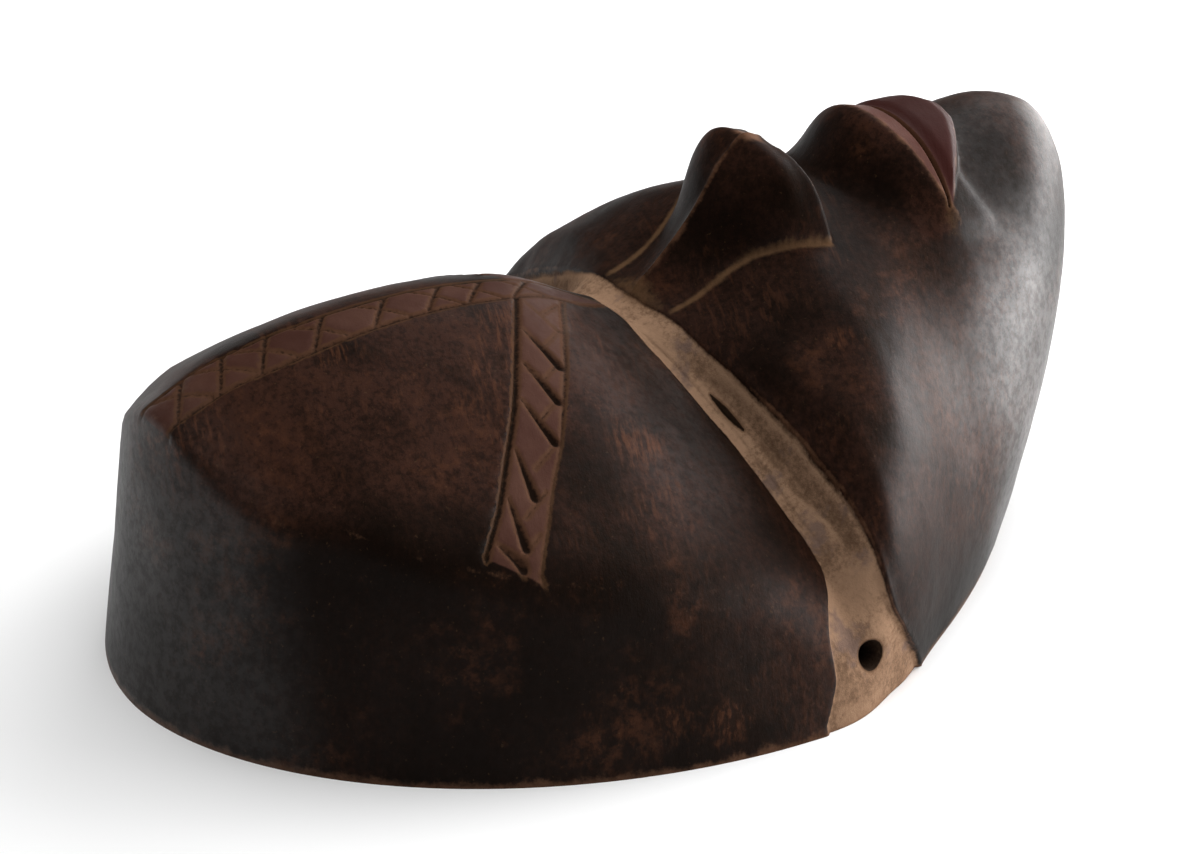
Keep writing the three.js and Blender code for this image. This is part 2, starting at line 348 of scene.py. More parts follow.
    def forehead(self, t: Array, y: Array) -> Array:
        """Height of the keeled forehead.

        Args:
            t: Distances from the middle line.
            y: Places up the face.

        Returns:
            The forehead's heights.
        """
        to_crown = np.maximum(y - self.peak_y, 0.0) / self.half_forehead
        to_brow = np.maximum(self.peak_y - y, 0.0) / self.half_forehead
        crest = self.peak_z - self.crown_drop * to_crown**self.crown_curve
        crest = crest - self.brow_drop * to_brow**self.brow_curve
        middle = np.exp(-((t / self.brow_dip_half_width) ** 4))
        crest = crest - self.brow_dip * smoothstep(y, 24.0, 0.0) * middle
        pitch = self.roof_pitch + self.roof_steepening * smoothstep(y, 10.0, 80.0)
        pitch = pitch + self.crown_steepening * smoothstep(y, 80.0, 108.0)
        return crest - pitch * keel(t, self.keel_radius)

    def cheek(self, t: Array, y: Array) -> Array:
        """Height of the cheeks, which round up out of the valley under the brow.

        Args:
            t: Distances from the middle line.
            y: Places up the face.

        Returns:
            The cheeks' heights.
        """
        brow = self.brow(t)
        below = np.maximum(brow - y, 0.0)
        full = smoothstep(below, 0.0, self.cheek_rise)
        valley = self.forehead(t, brow) + self.cheek_slope * below
        full_cheek = self.cheek_middle(y) - self.cheek_fall(y) * t * t
        dip = self.root_valley * hump(t, self.root_valley_half_width) * smoothstep(y, -26.0, -10.0)
        return (1.0 - full) * valley + full * full_cheek - dip * smoothstep(below, 0.0, 3.0)

    def nose(self, t: Array, y: Array) -> Array:
        """Height of the nose, a low roof at its root that fills out to round wings.

        Args:
            t: Distances from the middle line.
            y: Places up the face.

        Returns:
            The nose's heights, which are far below the face beyond its root.
        """
        along = (self.nose_root_y - y) / (self.nose_root_y - self.nose_end_y)
        half = self.nose_base(y)
        middle = self.cheek(np.zeros_like(y), y)
        height = np.maximum(self.nose_ridge(y) - middle + self.nose_sink, 0.05)
        winged = smoothstep(along, *self.wing_growth)
        fall = np.minimum(t / half, 1.0) ** (1.0 + self.wing_bulge * winged)
        section = (1.0 - fall) ** (self.root_sharpness - self.wing_fullness * winged)
        ridge = self.ridge_height * np.exp(-t / self.ridge_width) * smoothstep(along, 0.05, 0.3)
        skirt = self.nose_skirt_slope * np.maximum(t - half, 0.0)
        body = self.cheek(t, y) + height * section + (ridge - self.nose_sink) - skirt
        rounding = self.tip_rounding + self.wing_rounding * smoothstep(t, 6.0, 15.0)
        nose = -rounded_max(-body, -self.nose_end(t, y), rounding)
        return np.where(y > self.nose_root_y + 3.0, -1e3, nose)

    def nose_end(self, t: Array, y: Array) -> Array:
        """Height of the steep face under the nose's tip and wings."""
        wings = self.wing_setback * (1.0 - hump(t, 9.0))
        wings = wings - self.wing_sweep * np.maximum(t - 14.0, 0.0) ** 2
        return self.nose_end_z + (y - self.nose_end_y + wings) * self.nose_end_slope

    def from_crest(self, t: Array, y: Array) -> Array:
        """Place along the face from the muzzle's bowed crest, positive towards the nose."""
        return y - self.muzzle_y + self.muzzle_bow * t * t

    def muzzle(self, t: Array, y: Array) -> Array:
        """Height of the muzzle, whose crest is the edge of the upper lip.

        Args:
            t: Distances from the middle line.
            y: Places up the face.

        Returns:
            The muzzle's heights.
        """
        along = self.from_crest(t, y)
        crest = self.muzzle_z - self.muzzle_droop * t * t
        crest = crest - self.corner_fall * np.maximum(t - self.lip_half + 1.0, 0.0) ** 2
        rise = keel(np.maximum(along, 0.0), self.muzzle_front_radius)
        fall = keel(np.maximum(-along - self.muzzle_back_start, 0.0), self.muzzle_back_radius)
        front = crest - self.muzzle_front_slope * rise
        back = crest + self.lip_slope * along - self.muzzle_back_slope * fall
        return np.where(along > 0.0, front, back)

    def lower_lip(self, t: Array, y: Array) -> Array:
        """Height of the lower lip, a half disc that stands proud of the chin.

        Args:
            t: Distances from the middle line.
            y: Places up the face.

        Returns:
            The lip's heights.
        """
        mouth = self.mouth_line(t)
        down = mouth - y
        breadth = np.maximum(mouth - self.lower_lip_edge(t), 0.4)
        height = self.lip_z - self.lower_lip_droop * t * t - self.lower_lip_dip * smoothstep(down, 4.0, 0.0)
        height = height - self.lower_lip_edge_drop * smoothstep(down / breadth, 0.8, 1.0)
        outside = np.maximum(np.maximum(-down, down - breadth), t - self.lip_half)
        return height - self.lower_lip_side_slope * np.maximum(outside, 0.0)

    def face(self, t: Array, y: Array) -> Array:
        """Height of the face from above, whichever of its parts is highest.

        Args:
            t: Distances from the middle line.
            y: Places up the face.

        Returns:
            The face's heights.
        """
        blend = smoothstep(y - self.brow(t), -self.brow_rounding, self.brow_rounding)
        corner = self.muzzle_rounding + self.corner_rounding * smoothstep(t, 19.0, 28.0)
        lower = rounded_max(self.cheek(t, y), self.nose(t, y), self.nose_rounding)
        lower = rounded_max(lower, self.muzzle(t, y), corner)
        lower = rounded_max(lower, self.lower_lip(t, y), self.lower_lip_rounding)
        return blend * self.forehead(t, y) + (1.0 - blend) * lower

    def above_face(self, t: Array, y: Array, z: Array) -> Array:
        """Tell about how far points stand above the face, measured squarely to it."""
        return (z - self.face(t, y)) * self.squareness

    def outside(self, points: Array) -> Array:
        """Tell about how far points stand outside the outer skin."""
        _, y, z, t = split(points)
        return rounded_max(self.above_face(t, y, z), self.beyond_wall(t, y, z), self.corner(y))


@dataclass(frozen=True)
class HollowForm:
    """The hollow behind the face, which follows it loosely and is plainer."""

    form: MaskForm
    wall: float = 8.5
    face: float = 12.0
    muzzle_y: float = -55.0
    muzzle_depth: float = 7.0
    muzzle_half_width: float = 22.0
    muzzle_half_length: float = 28.0
    brow_rounding: float = 14.0
    corner_rounding: float = 8.0

    def outside(self, points: Array) -> Array:
        """Tell about how far points stand outside the hollow.

        Args:
            points: Places in the carver's frame, one row each.

        Returns:
            The distances outside the hollow, negative within it.
        """
        _, y, z, t = split(points)
        blend = smoothstep(y - self.form.brow(t), -self.brow_rounding, self.brow_rounding)
        skin = blend * self.form.forehead(t, y) + (1.0 - blend) * self.form.cheek(t, y)
        across = t / self.muzzle_half_width
        along = (y - self.muzzle_y) / self.muzzle_half_length
        roof = skin - self.face + self.muzzle_depth * np.exp(-(across**2) - along**2)
        wall = self.form.beyond_wall(t, y, z) + self.wall
        above = (z - roof) * self.form.squareness
        return rounded_max(above, wall, self.form.corner(y) + self.corner_rounding)


def positions(bm: bmesh.types.BMesh) -> Array:
    """Read the places of all vertices of a bmesh, one row each."""
    return np.array([v.co[:] for v in bm.verts], float).reshape(-1, 3)


def place(bm: bmesh.types.BMesh, points: Array) -> None:
    """Move the vertices of a bmesh to new places, one row each."""
    for vertex, point in zip(bm.verts, points.tolist()):
        vertex.co = point


def swell(bm: bmesh.types.BMesh, height: Surface) -> None:
    """Move the vertices of a bmesh along their normals, while the loop on the rim stays level.

    Args:
        bm: The bmesh.
        height: Tells how far each point moves outwards.
    """
    bm.normal_update()
    points = positions(bm)
    normals = np.array([v.normal[:] for v in bm.verts])
    moved = points + normals * height(points)[:, None]
    moved[:, 2] = np.where(points[:, 2] < 1e-3, 0.0, moved[:, 2])
    place(bm, moved)


def along_rays(start: Array, direction: Array, reach: Array, step: float, surface: Surface) -> Array:
    """Find where rays that come in from outside first meet a surface.

    Args:
        start: The point that all rays aim at.
        direction: Unit directions away from it.
        reach: Distance from it at which each ray begins.
        step: Length of the steps inwards.
        surface: Tells how far points stand outside the surface.

    Returns:
        The points on the surface.
    """
    near = reach.copy()
    waiting = np.arange(len(near))
    while waiting.size:
        near[waiting] -= step
        found = surface(start + direction[waiting] * near[waiting, None]) < 0.0
        waiting = waiting[~found & (near[waiting] > step)]
    far = near + step
    for _ in range(12):
        middle = (near + far) / 2.0
        inside = surface(start + direction * middle[:, None]) < 0.0
        near = np.where(inside, middle, near)
        far = np.where(inside, far, middle)
    return start + direction * near[:, None]


@dataclass(frozen=True)
class Skin:
    """A net of even squares drawn over a form like a cap, open at the plane of the rim."""

    surface: Surface
    rows: int
    centre_y: float = -25.0
    relaxations: int = 3
    far_out: float = 150.0
    far_step: float = 2.0
    lift: float = 2.4
    near_step: float = 0.6

    @property
    def centre(self) -> Array:
        """The point in the rim's plane from which every part of the form can be seen."""
        return np.array([0.0, self.centre_y, 0.0])

    def net(self) -> bmesh.types.BMesh:
        """Cut the upper half of a cube into squares and blow it up onto the form.

        Returns:
            A bmesh with its lowest loop in the plane of the rim.
        """
        bm = bmesh.new()
        bmesh.ops.create_cube(bm, size=2.0)
        bmesh.ops.subdivide_edges(bm, edges=bm.edges[:], cuts=2 * self.rows - 1, use_grid_fill=True)
        low = [v for v in bm.verts if v.co.z < -1e-4]
        bmesh.ops.delete(bm, geom=low, context="VERTS")
        bm.verts.index_update()
        even = np.tan(positions(bm) * np.pi / 4.0)
        direction = even / np.linalg.norm(even, axis=1)[:, None]
        far = np.full(len(direction), self.far_out)
        place(bm, along_rays(self.centre, direction, far, self.far_step, self.surface))
        for _ in range(self.relaxations):
            self.relax(bm)
        return bm

    def relax(self, bm: bmesh.types.BMesh) -> None:
        """Even out the squares and bring them back onto the form.

        Args:
            bm: The net.
        """
        inner = [v for v in bm.verts if not v.is_boundary]
        bmesh.ops.smooth_vert(
            bm, verts=inner, factor=0.5, use_axis_x=True, use_axis_y=True, use_axis_z=True
        )
        self.settle(bm)

    def settle(self, bm: bmesh.types.BMesh) -> None:
        """Bring vertices that are near the form back onto it.

        Args:
            bm: The net.
        """
        away = positions(bm) - self.centre
        distance = np.linalg.norm(away, axis=1)
        direction = away / distance[:, None]
        place(bm, along_rays(self.centre, direction, distance + self.lift, self.near_step, self.surface))

    def refine(self, bm: bmesh.types.BMesh, wanted: Callable[[Array], Array]) -> None:
        """Split the squares where finer carving comes.

        Args:
            bm: The net.
            wanted: Tells for each point whether it needs smaller squares.
        """
        bm.verts.index_update()
        flags = wanted(positions(bm))
        edges = [e for e in bm.edges if flags[e.verts[0].index] and flags[e.verts[1].index]]
        bmesh.ops.subdivide_edges(bm, edges=edges, cuts=1, use_grid_fill=True)
        bm.verts.index_update()
        self.settle(bm)


@dataclass(frozen=True)
class Stroke:
    """A straight cut of the knife, seen from above the face."""

    start: tuple[float, float]
    end: tuple[float, float]
    half_width: float
    depth: float
    taper: float = 1.0
    both_sides: bool = False

    def measure(self, x: Array, y: Array) -> tuple[Array, Array]:
        """Measure the depth cut away, and how far points lie beyond the cut's edge.

        Args:
            x: Places across the face.
            y: Places up the face.

        Returns:
            The depths, and the distances beyond the cut's edge.
        """
        x = np.abs(x) if self.both_sides else x
        ax, ay = self.start
        dx, dy = self.end[0] - ax, self.end[1] - ay
        u = np.clip(((x - ax) * dx + (y - ay) * dy) / (dx * dx + dy * dy), 0.0, 1.0)
        distance = np.hypot(x - ax - u * dx, y - ay - u * dy)
        full = self.taper + (1.0 - self.taper) * u
        half = self.half_width * full
        return self.depth * full * notch(distance, half), distance - half


@dataclass(frozen=True)
class RedBands:
    """The two painted bands on the forehead: one down its keel, and one up each side from it."""

    keel_middle: Profile = Profile(
        (2, -1.6), (14, -1.9), (30, -2.4), (65, -2.3), (80, -1), (92, 1.4), (102, 1.7)
    )
    keel_half: Profile = Profile(
        (1.5, 0.4), (6, 2.2), (13, 3.4), (30, 3.8), (46, 4.3), (65, 4.8), (80, 5.6), (92, 6.3), (104, 5.9)
    )
    keel_end_z: float = 60.0
    keel_end_y: float = 1.5
    overshoot: float = 0.4
    crossings: tuple[float, ...] = (98.8, 89.7, 81.2, 69.6, 55.8, 43.4, 33.7, 22.8)
    deep_cut: float = 0.75
    light_cut: float = 0.5
    upper_edge: Profile = Profile(
        (2, 23.4), (5.6, 25.7), (15.2, 31.8), (23.9, 37.5), (31.6, 42.8), (40.1, 49.8), (48, 56.5),
        (53.9, 62.7), (58, 67),
    )
    lower_edge: Profile = Profile(
        (4, 13.5), (8.2, 16.5), (16.1, 21.1), (25.3, 26.8), (33.4, 32.5), (40, 37.4), (47.6, 44.2),
        (54, 49.4), (60.5, 54.9),
    )
    side_start: float = 6.2
    side_end: float = 82.0
    side_end_z: float = 36.0
    chips: tuple[float, ...] = (7.3, 15.2, 22.3, 29.9, 38.7, 46.5, 53.3)
    chip_run: float = 9.2
    chip_limit: float = 58.2
    chip_size: float = 1.25
    chip_taper: float = 0.35
    slant: float = 0.76

    @cached_property
    def strokes(self) -> list[Stroke]:
        """Every knife cut of both bands."""
        return self.keel_strokes() + self.side_strokes()

    def keel_strokes(self) -> list[Stroke]:
        """The crosses down the keel, each a deep stroke over a light one.

        Returns:
            The strokes.
        """
        found = []
        for y in self.crossings:
            middle, half = float(self.keel_middle(np.array(y))), float(self.keel_half(np.array(y)))
            right, left = middle - half, middle + half
            right, left = right + self.overshoot, left - self.overshoot
            found.append(Stroke((right, y + 3.4), (left, y - 3.3), self.deep_cut, self.deep_cut, 0.8))
            found.append(Stroke((left, y + 3.2), (right, y - 4.6), self.light_cut, 0.45))
        return found

    def side_strokes(self) -> list[Stroke]:
        """The wedge-shaped chips of the side bands and the light scores between them.

        Returns:
            The strokes, each cut on both sides.
        """
        found = []
        for i, t in enumerate(self.chips):
            size = self.chip_size * (0.35 if i == 0 else 1.0)
            end = self.across(min(t + self.chip_run, self.chip_limit), 0.12 if i < 4 else 0.32)
            found.append(Stroke(self.across(t, 0.86), end, size, size, self.chip_taper, True))
            score = self.across(t + 1.2, 0.1), self.across(t + 4.4, 0.42)
            found.append(Stroke(*score, 0.4, 0.22, 1.0, True))
        return found

    def across(self, t: float, share: float) -> tuple[float, float]:
        """Find the point of a side band at a share of its breadth from the lower edge."""
        low = float(self.lower_edge(np.array(t)))
        high = float(self.upper_edge(np.array(t)))
        return t, low + share * (high - low)

    def keel_inside(self, x: Array, y: Array, z: Array) -> Array:
        """Tell how far points lie inside the band on the keel, which ends at the crown's corner."""
        ends = np.minimum(z - self.keel_end_z, y - self.keel_end_y)
        return np.minimum(self.keel_half(y) - np.abs(x - self.keel_middle(y)), ends)

    def side_beyond(self, t: Array, y: Array) -> Array:
        """Tell how far points lie past the side bands' lower ends."""
        return 0.78 * t + 0.62 * y - self.side_end

    def side_inside(self, x: Array, y: Array, z: Array) -> Array:
        """Tell how far points lie inside a side band.

        Args:
            x: Places across the face.
            y: Places up the face.
            z: Heights above the rim.

        Returns:
            The distances inside the band, negative outside it.
        """
        t = np.abs(x)
        sides = np.minimum(self.upper_edge(t) - y, y - self.lower_edge(t)) * self.slant
        ends = np.minimum(-self.side_beyond(t, y), t - 1.0)
        return np.minimum(np.minimum(sides, z - self.side_end_z), ends)

    def inside(self, x: Array, y: Array, z: Array) -> Array:
        """Tell how far points lie inside the red paint."""
        return np.maximum(self.keel_inside(x, y, z), self.side_inside(x, y, z))

    def upper_line(self, x: Array, y: Array) -> Array:
        """Signed distance from the deep line along the upper edge of a side band, positive outside."""
        return (y - self.upper_edge(np.abs(x))) * self.slant

    def lines(self, x: Array, y: Array) -> list[tuple[Array, float, float]]:
        """Distances from the lines along the bands, each with its half width and depth.

        Args:
            x: Places across the face.
            y: Places up the face.

        Returns:
            For each line the distances from it, its half width and its depth.
        """
        t = np.abs(x)
        on_keel = np.abs(self.keel_half(y) - np.abs(x - self.keel_middle(y))) + np.maximum(2.0 - y, 0.0)
        beyond = np.maximum(self.side_beyond(t, y), 0.0) + np.maximum(self.side_start - t, 0.0)
        upper = np.abs(self.upper_line(x, y)) + beyond
        lower = np.abs(self.lower_edge(t) - y) * self.slant + beyond + 0.35 * smoothstep(t, 30.0, 44.0)
        return [(on_keel, 0.6, 0.5), (upper, 0.8, 0.9), (lower, 0.6, 0.45)]

    def cuts(self, x: Array, y: Array) -> tuple[Array, Array]:
        """Measure all the cuts of the bands.

        Args:
            x: Places across the face.
            y: Places up the face.

        Returns:
            The depth of wood cut away and the distance beyond the nearest cut's edge.
        """
        marks = [stroke.measure(x, y) for stroke in self.strokes]
        for distance, half, deep in self.lines(x, y):
            marks.append((deep * notch(distance, half), distance - half))
        depths, beyond = zip(*marks)
        return np.max(depths, axis=0), np.min(beyond, axis=0)


@dataclass(frozen=True)
class EyeBand:
    """The pale sunken band across the eyes, which runs down the wall at each temple.

    Its edges are told along q, half of the way out across the face and down the wall. Over the eyes
    it is cut as a shallow groove of two facets.
    """

    level: float = 62.0
    brow_edge: Profile = Profile(
        (0, 1.6), (4, 0.2), (8, -0.1), (13.1, -1.6), (18.1, -2.9), (22.4, -3.9), (26.7, -5.1), (30.8, -5.9),
        (36.1, -6.7), (41.3, -7.4), (45.7, -8.2), (50, -8.3), (53.8, -6.9), (56.7, -5), (61.1, -3.1),
        (65.6, -2.8), (68.5, -1.2), (71.1, 0.9),
    )
    cheek_edge: Profile = Profile(
        (0, -5.6), (4, -6.5), (8.4, -7.5), (13.1, -8.5), (17.7, -9.9), (22.5, -11.3), (26.7, -12.5),
        (30.5, -13.4), (34.2, -14.2), (38.7, -15.1), (43.2, -15.8), (51.3, -16.7), (55.5, -17.2),
        (59, -18.4), (62.3, -22.9), (65.7, -30.4), (71, -38),
    )
    groove_share: float = 0.5
    groove_depth: float = 1.5
    patch_start: float = 53.0
    patch_depth: float = 0.5
    sunk: float = 0.45
    line_depth: float = 0.3
    lip_height: float = 0.2
    facet_edge: float = 0.06
    wall_t: float = 55.0
    stain_y: float = -9.0
    stain_z: float = 28.0
    stain_reach: float = 5.83

    def along(self, t: Array, z: Array) -> Array:
        """Place along the band."""
        return (t + self.level - z) / 2.0

    def from_edges(self, t: Array, y: Array, z: Array) -> tuple[Array, Array]:
        """Distances inside the brow edge and inside the cheek edge."""
        q = self.along(t, z)
        return self.brow_edge(q) - y, y - self.cheek_edge(q)

    def inside(self, t: Array, y: Array, z: Array) -> Array:
        """Tell how far points lie inside the band."""
        return np.minimum(*self.from_edges(t, y, z))

    def share(self, t: Array, y: Array, z: Array) -> Array:
        """Share of the band's breadth from its brow edge."""
        brow, cheek = self.from_edges(t, y, z)
        return brow / np.maximum(brow + cheek, 0.1)

    def grooved(self, t: Array, z: Array) -> Array:
        """Tell where along the band its groove runs, with soft ends."""
        q = self.along(t, z)
        return smoothstep(q, 8.0, 20.0) * smoothstep(q, 54.0, 49.0)

    def groove(self, t: Array, y: Array, z: Array) -> Array:
        """Share of the groove's depth, which is 1 along its bottom."""
        share = self.share(t, y, z)
        sides = np.minimum(share / self.groove_share, (1.0 - share) / (1.0 - self.groove_share))
        return np.clip(sides, 0.0, 1.0) * self.grooved(t, z)

    def far_facet(self, t: Array, y: Array, z: Array) -> Array:
        """Mark the cheek-side facet of the groove, which carries painted shade, the stains down the wall, and
        the band's foot, which is darker towards the rim.

        Args:
            t: Distances from the middle line.
            y: Places up the face.
            z: Heights above the rim.

        Returns:
            Shares from 0 to 1.
        """
        share = self.share(t, y, z)
        start = self.groove_share + 0.2 * smoothstep(self.along(t, z), 36.0, 46.0)
        far = smoothstep(share, start - self.facet_edge, start + self.facet_edge)
        facet = far * smoothstep(share, 0.98, 0.86) * self.grooved(t, z)
        stain = hump(np.hypot(y - self.stain_y, z - self.stain_z), self.stain_reach)
        foot = 0.9 * smoothstep(z, 20.0, 4.0)
        return np.maximum(facet, np.maximum(stain, foot) * (t > self.wall_t))

    def height(self, t: Array, y: Array, z: Array) -> Array:
        """Height of the band's facets over the valley that it lies in, with a lip at each edge.

        Args:
            t: Distances from the middle line.
            y: Places up the face.
            z: Heights above the rim.

        Returns:
            How far the band's surface lies above the form.
        """
        q = self.along(t, z)
        brow, cheek = self.from_edges(t, y, z)
        inside = np.minimum(brow, cheek)
        bed = -self.sunk * smoothstep(inside, -0.5, 0.7)
        patch = -self.patch_depth * smoothstep(q, self.patch_start, self.patch_start + 2.5)
        line = -self.line_depth * notch(np.abs(brow - 1.3), 0.5) * smoothstep(q, 52.0, 44.0)
        lip = self.lip_height * hump(cheek + 0.9, 0.7) * smoothstep(q, 12.0, 26.0)
        facets = (patch - self.groove_depth * self.groove(t, y, z)) * smoothstep(inside, 0.0, 0.8)
        return bed + facets + line + lip


@dataclass(frozen=True)
class EyeSlit:
    """A narrow pierced slit along the bottom of the band's groove, under each brow."""

    t: float = 33.0
    y: float = -7.7
    length: float = 9.4
    width: float = 1.1
    turn: float = -13.0
    start_z: float = 15.0
    depth: float = 70.0

    def beyond(self, t: Array, y: Array) -> Array:
        """Measure how far points lie beyond the slit's edge, seen from above.

        Args:
            t: Distances from the middle line.
            y: Places up the face.

        Returns:
            The distances beyond the edge, negative within it.
        """
        turn = math.radians(self.turn)
        along = (t - self.t) * math.cos(turn) + (y - self.y) * math.sin(turn)
        across = (y - self.y) * math.cos(turn) - (t - self.t) * math.sin(turn)
        u = np.abs(along) / (self.length / 2.0)
        half = self.width / 2.0 * np.clip(1.0 - u * u, 0.0, 1.0)
        return np.hypot(np.maximum(u - 1.0, 0.0) * self.length / 2.0, across) - half

    def cutter(self, side: Side) -> bmesh.types.BMesh:
        """Build the blade-shaped solid that is taken out of the mask.

        Args:
            side: The side of the mask that it pierces.

        Returns:
            The cutter's mesh.
        """
        bm = bmesh.new()
        bmesh.ops.create_circle(bm, cap_ends=True, segments=24, radius=1.0)
        for vertex in bm.verts:
            vertex.co.y *= self.width / 2.0 * (1.0 - vertex.co.x**2) ** 0.5
            vertex.co.x *= self.length / 2.0
        bmesh.ops.remove_doubles(bm, verts=bm.verts[:], dist=1e-3)
        lifted = bmesh.ops.extrude_face_region(bm, geom=bm.faces[:])["geom"]
        tops = [v for v in lifted if isinstance(v, bmesh.types.BMVert)]
        bmesh.ops.translate(bm, verts=tops, vec=(0.0, 0.0, self.depth))
        turn = Matrix.Rotation(math.radians(side.value * self.turn), 4, "Z")
        bmesh.ops.transform(bm, matrix=turn, verts=bm.verts[:])
        bmesh.ops.translate(bm, verts=bm.verts[:], vec=(side.value * self.t, self.y, self.start_z))
        bmesh.ops.recalc_face_normals(bm, faces=bm.faces[:])
        return bm


@dataclass(frozen=True)
class TieHole:
    """The hole at each temple for the cord that ties the mask on."""

    radius: float = 3.0
    t: float = 77.0
    y: float = -13.0
    z: float = 11.5
    reach: float = 30.0
    turn: float = 14.0

    def beyond(self, t: Array, y: Array, z: Array) -> Array:
        """Measure how far points lie beyond the hole's edge, seen from the side."""
        axis_y = self.y + (self.t - t) * math.tan(math.radians(self.turn))
        return np.hypot(y - axis_y, z - self.z) - self.radius

    def cutter(self, side: Side) -> bmesh.types.BMesh:
        """Build the round solid that is taken out of the mask.

        Args:
            side: The side of the mask that it pierces.

        Returns:
            The cutter's mesh.
        """
        bm = bmesh.new()
        bmesh.ops.create_cone(
            bm, cap_ends=True, segments=32, radius1=self.radius, radius2=self.radius, depth=self.reach
        )
        lay = Matrix.Rotation(math.pi / 2.0, 4, "Y")
        turn = Matrix.Rotation(math.radians(-side.value * self.turn), 4, "Z")
        bmesh.ops.transform(bm, matrix=turn @ lay, verts=bm.verts[:])
        bmesh.ops.translate(bm, verts=bm.verts[:], vec=(side.value * self.t, self.y, self.z))
        bmesh.ops.recalc_face_normals(bm, faces=bm.faces[:])
        return bm


def rough(points: Array, size: float, seed: float, octaves: int = 2) -> Array:
    """Read a cloudy random field, the same on every run.

    Args:
        points: Where to read it, in millimetres.
        size: Size of its clouds in millimetres.
        seed: Shifts the field, so that two of them differ.
        octaves: How many finer layers it has.

    Returns:
        Values from about -1 to 1.
    """
    scaled = points / size + seed
    return np.array([noise.fractal(p, LAYER_FADE, LAYER_RATIO, octaves) for p in scaled.tolist()])


@dataclass(frozen=True)
class RubbedPatch:
    """A cloudy place where the stain is rubbed through to orange-brown wood."""

    x: float
    y: float
    z: float
    reach: float
    strength: float

    def share(self, points: Array) -> Array:
        """Share of rubbing at each point."""
        away = np.linalg.norm(points - (self.x, self.y, self.z), axis=1)
        return self.strength * hump(away, self.reach)


